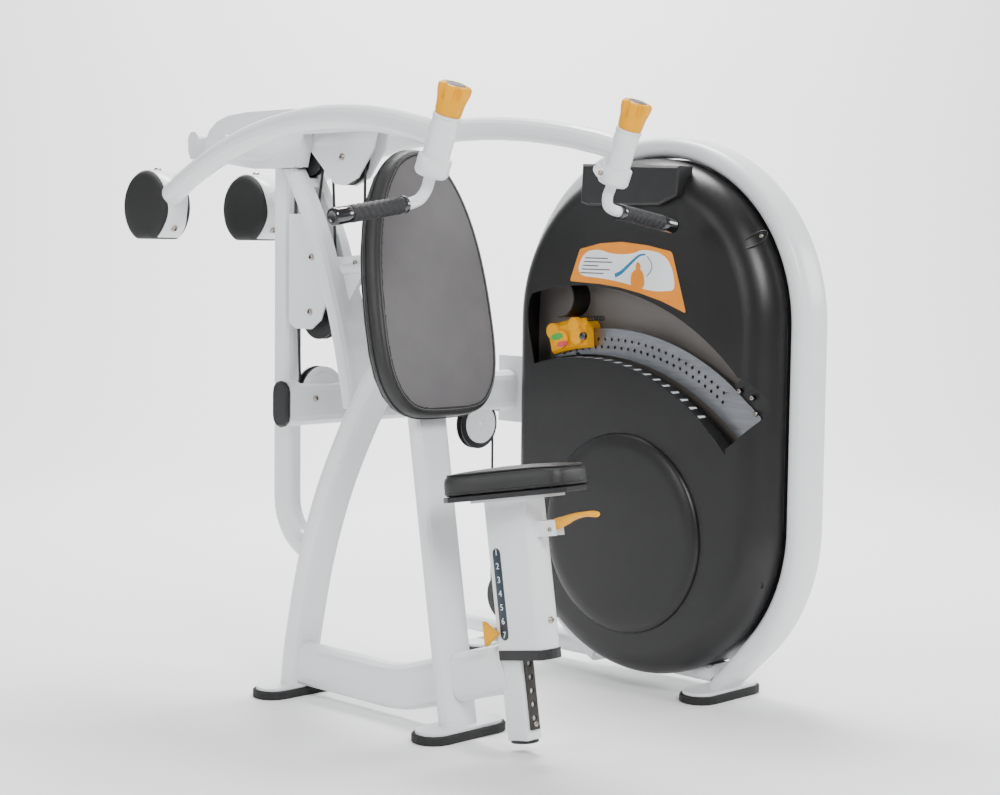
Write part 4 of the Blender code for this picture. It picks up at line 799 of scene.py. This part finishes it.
def build_hoop():
    """The flat oval tube round the tower and the plate on its front foot."""
    turn = radians(HOOP_FOOT_TURN)
    top = Vector((TOWER_X, TOWER_Y + HOOP_RADIUS * cos(turn), HOOP_LOW_Z + HOOP_RADIUS * sin(turn)))
    slope = Vector((0.0, -sin(turn), cos(turn)))
    path = [top + slope * ((HOOP_FOOT_Z - top.z) / slope.z)]
    for centre_z, start, end, steps in ((HOOP_LOW_Z, HOOP_FOOT_TURN, 180.0, 16),
                                        (HOOP_HIGH_Z, 180.0, 0.0, 96), (HOOP_LOW_Z, 0.0, -64.5, 30)):
        path += [Vector((TOWER_X, TOWER_Y + HOOP_RADIUS * cos(turn), centre_z + HOOP_RADIUS * sin(turn)))
                 for turn in arc(start, end, steps)]
    rings = []
    for index, point in enumerate(path):
        tangent = heading(path, index)
        out = X_AXIS.cross(tangent).normalized()
        ring = []
        for turn in turns(40):
            wide, deep = 0.052 * signed_power(cos(turn), 0.62), 0.027 * signed_power(sin(turn), 0.62)
            ring.append(point + X_AXIS * wide + out * deep)
        if index == 0:
            ring = [Vector((p.x, p.y, max(p.z, HOOP_FOOT_Z))) for p in ring]
        rings.append(ring)
    plate = [(middle + 0.043 * cos(turn), 0.043 * sin(turn))
             for middle, start in ((0.08, -90.0), (-0.08, 90.0))
             for turn in arc(start, start + 180.0, 16)]
    levels = [(0.0, 0.0203), (0.0, 0.0262), (0.001, 0.0273)]
    foot = layered(plate, levels, lambda x, y, z: Vector((TOWER_X + x, -0.165 + y, z)))
    piece("tower_hoop_tube", [sheet_of(rings), sheet_of(foot)], WHITE, replaces=("tower_hoop",))


def build_bridge_web():
    """The slanted front webs that close the bridge's channel beside the pulley plates."""
    skins = []
    for side in (-1.0, 1.0):
        edge = [(0.53, 1.308), (0.5345, 1.31), (0.499, 1.436), (0.4945, 1.434)]
        skins.append(slab(edge, side * 0.0208, side * 0.0618))
    piece("bridge_webs", skins, WHITE, "press_arms")


def build_rail():
    """The perforated selector rail with its end screws."""
    outline = arc_strip(RAIL_LOW_ARC, RAIL_ARC, -0.25, 0.352,
                        [(-0.334, 0.719), (-0.318, 0.655), (-0.29, 0.645)])
    rail = piece("perforated_rail", slab(outline, RAIL_X, RAIL_X + 0.005), STEEL, None)
    holes = []
    for row, radius in ((0.0, 0.652), (0.5, 0.632)):
        for index in range(26):
            turn = radians(-16.0 + (index + row) * 2.02)
            centre = Vector((RAIL_X - 0.004, RAIL_ARC[0] - radius * sin(turn),
                             RAIL_ARC[1] + radius * cos(turn)))
            holes.append(sheet_of(turned([(0.0042, 0.0), (0.0042, 0.014)], centre, X_AXIS, 14)))
    cut_away(rail, holes, 20.0)
    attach(rail, "machine_frame")
    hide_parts("selector_rail")
    screws = [bolt(Vector((RAIL_X - 0.0002, y, z)), -X_AXIS, 0.007)
              for y, z in ((-0.267, 0.78), (-0.306, 0.766), (-0.318, 0.728))]
    piece("rail_screws", screws, BOLTS)


def build_scale():
    """White marks along the ledge under the rail."""
    marks = []
    for index in range(15):
        turn = radians(-6.0 + index * 3.1)
        out = Vector((0.0, -sin(turn), cos(turn)))
        along = Vector((0.0, cos(turn), sin(turn)))
        centre = Vector((0.0, LEDGE_ARC[0], LEDGE_ARC[1])) + out * (LEDGE_ARC[2] + 0.0001)
        corners = ((0.628, -0.0045), (0.654, -0.003), (0.654, 0.003), (0.628, 0.0045))
        marks.append(sheet_of([[centre + X_AXIS * x + along * y + out * lift for x, y in corners]
                               for lift in (-0.0004, 0.0002)]))
    piece("scale_marks", marks, PRINT_WHITE)


def build_placard():
    """A plain exercise placard: orange frame, white field, a blue arm and an orange figure."""
    outline = [(0.216, 1.118), (0.145, 1.133), (0.074, 1.137), (-0.01, 1.129), (-0.09, 1.114),
               (-0.138, 0.964), (-0.06, 0.992), (0.011, 1.01), (0.08, 1.023), (0.145, 1.03), (0.25, 1.035)]
    dense = []
    for here, after in zip(outline, outline[1:] + outline[:1]):
        for step in range(6):
            dense.append(tuple(a + (b - a) * step / 6 for a, b in zip(here, after)))
    face = rounded(dense, 2)
    piece("placard", facing_plate(face, COVER_X - 0.0012, COVER_X + 0.0015), PRINT_ORANGE)
    field = [(0.204, 1.11), (0.15, 1.119), (0.108, 1.106), (0.04, 1.106), (0.0, 1.121), (-0.082, 1.104),
             (-0.108, 1.02), (-0.07, 1.016), (-0.02, 1.016), (0.06, 1.034), (0.14, 1.045), (0.228, 1.05)]
    piece("placard_field", facing_plate(rounded(field, 2), COVER_X - 0.0017, COVER_X - 0.001), PRINT_WHITE)
    skins = []
    for line in range(5):
        high = 1.094 - 0.0095 * line
        rear, front = 0.196 + 0.004 * line, (0.118, 0.104, 0.15, 0.112, 0.132)[line]
        skins.append(facing_plate([(rear, high), (rear, high + 0.003), (front, high + 0.0022),
                                   (front, high - 0.0008)], COVER_X - 0.0021, COVER_X - 0.0015, 0.0001))
    piece("placard_lines", skins, PRINT_GREY)
    arm = [Vector((COVER_X - 0.0019, y, z)) for y, z in
           ((0.094, 1.052), (0.074, 1.06), (0.052, 1.076), (0.03, 1.093), (0.012, 1.104), (-0.006, 1.106))]
    path = smooth_path(arm, 4)
    flow = [0.0055 - 0.0035 * index / (len(path) - 1) for index in range(len(path))]
    blue = [flat_stroke(path, flow)]
    swing = [Vector((COVER_X - 0.0019, -0.012 - 0.016 * sin(pi * k / 12), 1.102 - 0.05 * k / 12))
             for k in range(13)]
    blue.append(flat_stroke(swing, [0.0013] * 13))
    piece("placard_arm", blue, PRINT_BLUE)
    figure = [(0.018, 1.09), (0.026, 1.078), (0.024, 1.068), (0.04, 1.06), (0.042, 1.022), (-0.006, 1.018),
              (-0.002, 1.06), (0.01, 1.068), (0.008, 1.078)]
    piece("placard_figure", facing_plate(rounded(figure, 2), COVER_X - 0.0024, COVER_X - 0.0015, 0.0002),
          PRINT_ORANGE)


def flat_stroke(path, widths):
    """A flat painted line in the YZ plane, of a width for each point."""
    left, right = [], []
    for index, point in enumerate(path):
        tangent = heading(path, index)
        out = X_AXIS.cross(tangent)
        left.append(point + out * widths[index])
        right.append(point - out * widths[index])
    outline = left + right[::-1]
    return sheet_of([outline, [point + X_AXIS * 0.0007 for point in outline]])


def build_selector():
    """Details of the yellow selector: labels, round lobes, spring coil and a chrome collar."""
    centre = Vector((0.0, RAIL_ARC[0], RAIL_ARC[1]))

    def at(degrees, radius, x):
        turn = radians(degrees)
        return centre + Y_AXIS * radius * sin(turn) + Z_AXIS * radius * cos(turn) + X_AXIS * x

    out = at(10.8, 1.0, 0.0) - centre
    lobes = []
    for degrees, radius, size in ((14.6, 0.69, 0.021), (12.6, 0.664, 0.024), (8.2, 0.694, 0.02),
                                  (7.6, 0.664, 0.022)):
        profile = [(size * 0.7, 0.0), (size * 0.9, 0.0006), (size, 0.003), (size, 0.018)]
        lobes.append(sheet_of(turned(profile, at(degrees, radius, 0.6315), X_AXIS, 40)))
    piece("selector_lobes", lobes, YELLOW, "selector")
    labels = ((13.2, 0.672, PRINT_GREEN, "green", 0.04, 0.017),
              (12.0, 0.65, PRINT_RED, "red", 0.036, 0.014))
    along = X_AXIS.cross(out).normalized()
    for degrees, radius, finish, colour, width, height in labels:
        spot = at(degrees, radius, 0.6308)
        corners = rounded([(-width / 2, -height / 2), (width / 2, -height / 2), (width / 2, height / 2),
                           (-width / 2, height / 2)], 1)
        rings = [[spot + along * u + out * v + X_AXIS * x for u, v in corners] for x in (0.0, 0.003)]
        piece("selector_label_" + colour, sheet_of(rings), finish, "selector")
    coil = [at(5.6 - 0.1 * k, 0.706 + 0.006 * cos(0.9 * k), 0.655 + 0.006 * sin(0.9 * k))
            for k in range(48)]
    piece("selector_coil", sheet_of(sweep(coil, 0.0016, 8)), PLASTIC, "selector")
    ring = turned([(0.0085, 0.0), (0.0105, 0.001), (0.0105, 0.008), (0.0085, 0.009)], at(5.4, 0.662, 0.628),
                  X_AXIS, 32)
    piece("selector_collar", sheet_of(ring), CHROME, "selector")


def build_drum():
    """The dark rolled guard in the window's rear corner."""
    rings = []
    centre = Vector((0.0, 0.3, 0.99))
    for turn in arc(-95.0, 55.0, 16):
        out = Vector((0.0, -cos(turn), sin(turn)))
        rings.append([centre + X_AXIS * x + out * r for x, r in
                      ((0.636, 0.048), (0.636, 0.0505), (0.7, 0.0505), (0.7, 0.048))])
    piece("window_guard", sheet_of(rings), COVER)


def build_cover_details():
    """Scallops with screws at the cover's edge."""
    scallops, screws = [], []
    for y, z, turn in ((-0.318, 1.145, 38.0), (-0.33, 0.33, -36.0)):
        out = Vector((0.0, -cos(radians(turn)), sin(radians(turn))))
        centre = Vector((0.652, y, z))
        along = X_AXIS.cross(out)
        rim = [centre + along * 0.0135 * sin(step) + (out * 0.03 + X_AXIS * 0.016) * cos(step)
               for step in turns(40)]
        scallops.append(sheet_of(sweep_loop(rim, 0.0016), closed=True))
        screws.append(bolt(centre + out * 0.014 + X_AXIS * 0.01, out * 0.5 - X_AXIS, 0.005))
    piece("cover_scallops", scallops, COVER, angle=180.0)
    piece("cover_screws", screws, BOLTS)


# ---- frame details ----
def side_bolts(node, y, z):
    """A bolt on each side face of a node."""
    low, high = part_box(node)
    return [bolt(Vector((low[0] - 0.0003, y, z)), -X_AXIS, 0.0085),
            bolt(Vector((high[0] + 0.0003, y, z)), X_AXIS, 0.0085)]


def build_screws():
    """The button-head screws of the fixed frame and of the moving bridge."""
    skins = side_bolts("pulley_bracket", 0.497, 1.09) + side_bolts("pulley_bracket", 0.502, 0.957)
    skins.append(bolt(Vector((-0.0065, 0.368, 1.078)), -X_AXIS, 0.007))
    beam_low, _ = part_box("lateral_beam")
    skins.append(bolt(Vector((0.016, beam_low[1] - 0.0003, 0.741)), -Y_AXIS, 0.008))
    piece("frame_screws", skins, BOLTS)
    piece("carriage_screw", bolt(on_post(0.0, 0.1185, 0.275), POST_FORWARD, 0.0078), BOLTS, "seat")
    moving = side_bolts("pulley_housing", 0.402, 1.33)
    for x in (-0.0623, 0.0623):
        moving.append(bolt(Vector((x, 0.8, 1.385)), Vector((x, 0.0, 0.0)), 0.005))
    piece("bridge_screws", moving, BOLTS, "press_arms")


def build_post_details():
    """The post's bottom cap, its rack screw and the numbered strip on the seat's carriage."""
    half_depth, half_width = 0.0335, 0.024
    outline = rounded([(-half_depth, -half_width), (half_depth, -half_width), (half_depth, half_width),
                       (-half_depth, half_width)], 2)
    levels = [(0.003, 0.004), (0.0, 0.0055), (0.0, 0.0118)]
    piece("post_cap", sheet_of(layered(outline, levels, lambda f, x, up: on_post(x, f, up))), PLASTIC)
    piece("rack_screw", bolt(on_post(0.0, 0.0388, 0.047), POST_FORWARD, 0.0065), BOLTS)
    strip = [(0.004 + 0.012 * cos(turn), end + 0.012 * sin(turn))
             for end, start in ((0.428, 0.0), (0.247, 180.0))
             for turn in arc(start, start + 180.0, 8)]
    levels = [(0.0, 0.033), (0.0, 0.0336), (0.0004, 0.0338)]
    piece("number_strip", sheet_of(layered(strip, levels, lambda f, up, x: on_post(-x, f, up))),
          NUMBER_STRIP, "seat")
    for number in range(1, 8):
        digit = bpy.data.curves.new("digit", "FONT")
        digit.body = str(number)
        digit.size = 0.02
        digit.align_x = digit.align_y = "CENTER"
        digit.extrude = 0.0002
        made = add_object("height_digit_" + digit.body, digit)
        made.matrix_world = Matrix((POST_FORWARD, POST_UP, -X_AXIS)).transposed().to_4x4()
        made.matrix_world.translation = on_post(-0.034, 0.004, 0.43 - 0.0305 * (number - 1))
        digit.materials.append(PRINT_WHITE)
        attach(made, "seat")


def build_pointer():
    """The yellow height pointer, on a white arm behind the post."""
    arrow = [(-0.047, 0.223), (-0.047, 0.279), (-0.034, 0.27), (-0.004, 0.251), (-0.034, 0.232)]
    levels = [(0.001, -0.05), (0.0, -0.049), (0.0, -0.038), (0.001, -0.037)]
    piece("pointer_arrow", sheet_of(layered(arrow, levels, lambda f, up, x: on_post(x, f, up))), YELLOW,
          replaces=("height_pointer",))
    arm = [(-0.046, 0.238), (-0.0328, 0.238), (-0.0328, 0.264), (-0.046, 0.264)]
    levels = [(0.001, -0.04851), (0.0, -0.04753), (0.0, -0.00098), (0.001, 0.0)]
    piece("pointer_arm", sheet_of(layered(arm, levels, lambda f, up, x: on_post(x, f, up))), WHITE)


def build_pulley_guards():
    """White guard discs on both faces of the beam's pulley."""
    profile = [(0.066, 0.0), (0.0668, 0.0006), (0.0668, 0.0026), (0.0655, 0.0032), (0.002, 0.0032)]
    discs = [sheet_of(turned(profile, Vector((0.05, face, 0.752)), Y_AXIS * way, 64))
             for face, way in ((0.5572, -1.0), (0.5828, 1.0))]
    piece("beam_guards", discs, WHITE)


def build_cable_fitting():
    """The threaded rod that ties the cable's end to its lug, with its nuts and sleeve."""
    top = Vector((0.0, 0.342, 1.152))
    thread = []
    for step in range(121):
        centre = Vector((0.0, 0.342, 1.03 + 0.075 * step / 120))
        ring = []
        for turn in turns(16):
            reach = 0.0048 + 0.0004 * cos(turn - 2.0 * pi * step / 6)
            ring.append(centre + Vector((cos(turn), sin(turn), 0.0)) * reach)
        thread.append(ring)
    sleeve = sheet_of(turned([(0.005, -0.044), (0.0066, -0.042), (0.0066, -0.01), (0.005, -0.003),
                              (0.0038, 0.0)], top, Z_AXIS, 24))
    skins = [sheet_of(thread), sleeve]
    for z in (1.046, 1.058, 1.1):
        skins.append(sheet_of(turned([(0.0085, 0.0), (0.0098, 0.0012), (0.0098, 0.006), (0.0085, 0.0072)],
                                     Vector((0.0, 0.342, z)), Z_AXIS, 6)))
    piece("cable_fitting", skins, STEEL)


def build_strands():
    """The two free cable strands, which stretch between the frame and the press arms."""
    low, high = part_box("cable_front_strand")
    middle = (low[1] + high[1]) / 2
    front = [Vector((0.0, middle, 1.112 + (high[2] - 1.112) * k / 30)) for k in range(31)]
    strand = piece("front_strand", sheet_of(sweep(front, CABLE_RADIUS, 12)), CABLE, None,
                   ("cable_front_strand",), angle=180.0)
    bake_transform(strand)
    low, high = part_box("cable_rear_strand")
    lower, upper = Vector((0.0, 0.442, low[2])), Vector((0.0, 0.462, high[2]))
    rear = [lower.lerp(upper, k / 40) for k in range(41)]
    strand = piece("rear_strand", sheet_of(sweep(rear, CABLE_RADIUS, 12)), CABLE, None,
                   ("cable_rear_strand",), angle=180.0)
    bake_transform(strand)


# ---- camera, floor and light ----
def build_stage():
    """A pale floor that sweeps up behind the machine, a dim white surround and soft lamps."""
    reach, bend = 5.0, 2.0
    profile = [(-9.0, 0.0), (reach, 0.0)]
    profile += [(reach + bend * sin(radians(a)), bend - bend * cos(radians(a)))
                for a in range(6, 91, 6)]
    profile.append((reach + bend, 9.0))
    ahead, level = Vector((1.0, 1.0, 0.0)).normalized(), Vector((1.0, -1.0, 0.0)).normalized()
    rings = [[ahead * far + level * wide + Z_AXIS * high for far, high in profile]
             for wide in (-12.0, 12.0)]
    mesh = bpy.data.meshes.new("floor")
    count = len(profile)
    faces = [(k, k + 1, count + k + 1, count + k) for k in range(count - 1)]
    mesh.from_pydata([tuple(point) for ring in rings for point in ring], [], faces)
    mesh.shade_smooth()
    ground = add_object("floor", mesh)
    mesh.materials.append(material("pale_floor", (0.93, 0.93, 0.93), 0.7, variation=0.004, patch=1.0))
    world = bpy.data.worlds.new("studio")
    world.use_nodes = True
    sky = world.node_tree.nodes["Background"].inputs
    sky["Color"].default_value = (0.96, 0.98, 1.0, 1.0)
    sky["Strength"].default_value = 0.38
    bpy.context.scene.world = world
    lights = (("key", (-1.4, -3.6, 3.4), 1.6, 175.0, (0.2, 0.0, 0.7)),
              ("side", (3.4, -2.4, 2.2), 1.6, 70.0, (0.6, 0.0, 0.8)),
              ("left", (-3.4, 0.6, 2.2), 1.8, 60.0, (0.0, 0.3, 0.8)),
              ("backdrop", (1.6, 1.6, 5.5), 3.0, 900.0, (4.6, 4.6, 0.6)))
    for name, spot, size, power, target in lights:
        light = bpy.data.lights.new(name, "AREA")
        light.shape = "DISK"
        light.size = size
        light.energy = power
        lamp = add_object(name, light)
        lamp.location = spot
        lamp.rotation_euler = (Vector(target) - Vector(spot)).to_track_quat("-Z", "Y").to_euler()


def build_camera():
    yaw, pitch, roll = radians(CAMERA_YAW), radians(CAMERA_PITCH), radians(CAMERA_ROLL)
    ahead = Vector((cos(pitch) * cos(yaw), cos(pitch) * sin(yaw), sin(pitch)))
    level = Vector((sin(yaw), -cos(yaw), 0.0))
    above = level.cross(ahead)
    right = level * cos(roll) + above * sin(roll)
    up = above * cos(roll) - level * sin(roll)
    data = bpy.data.cameras.new("camera")
    data.sensor_width = 36.0
    data.lens = CAMERA_LENS
    camera = add_object("camera", data)
    camera.matrix_world = Matrix((right, up, -ahead)).transposed().to_4x4()
    camera.matrix_world.translation = CAMERA_PLACE
    bpy.context.scene.camera = camera


paint_cad()
build_backrest()
build_seat()
build_lever()
for label, side in SIDES:
    build_handle(label, side)
    build_knob(label, side)
    build_hub_clamp(label, side)
    build_counterweight(label, side)
build_cover()
build_hoop()
build_bridge_web()
build_rail()
build_scale()
build_placard()
build_selector()
build_drum()
build_cover_details()
build_screws()
build_post_details()
build_pointer()
build_pulley_guards()
build_cable_fitting()
build_strands()
build_stage()
build_camera()
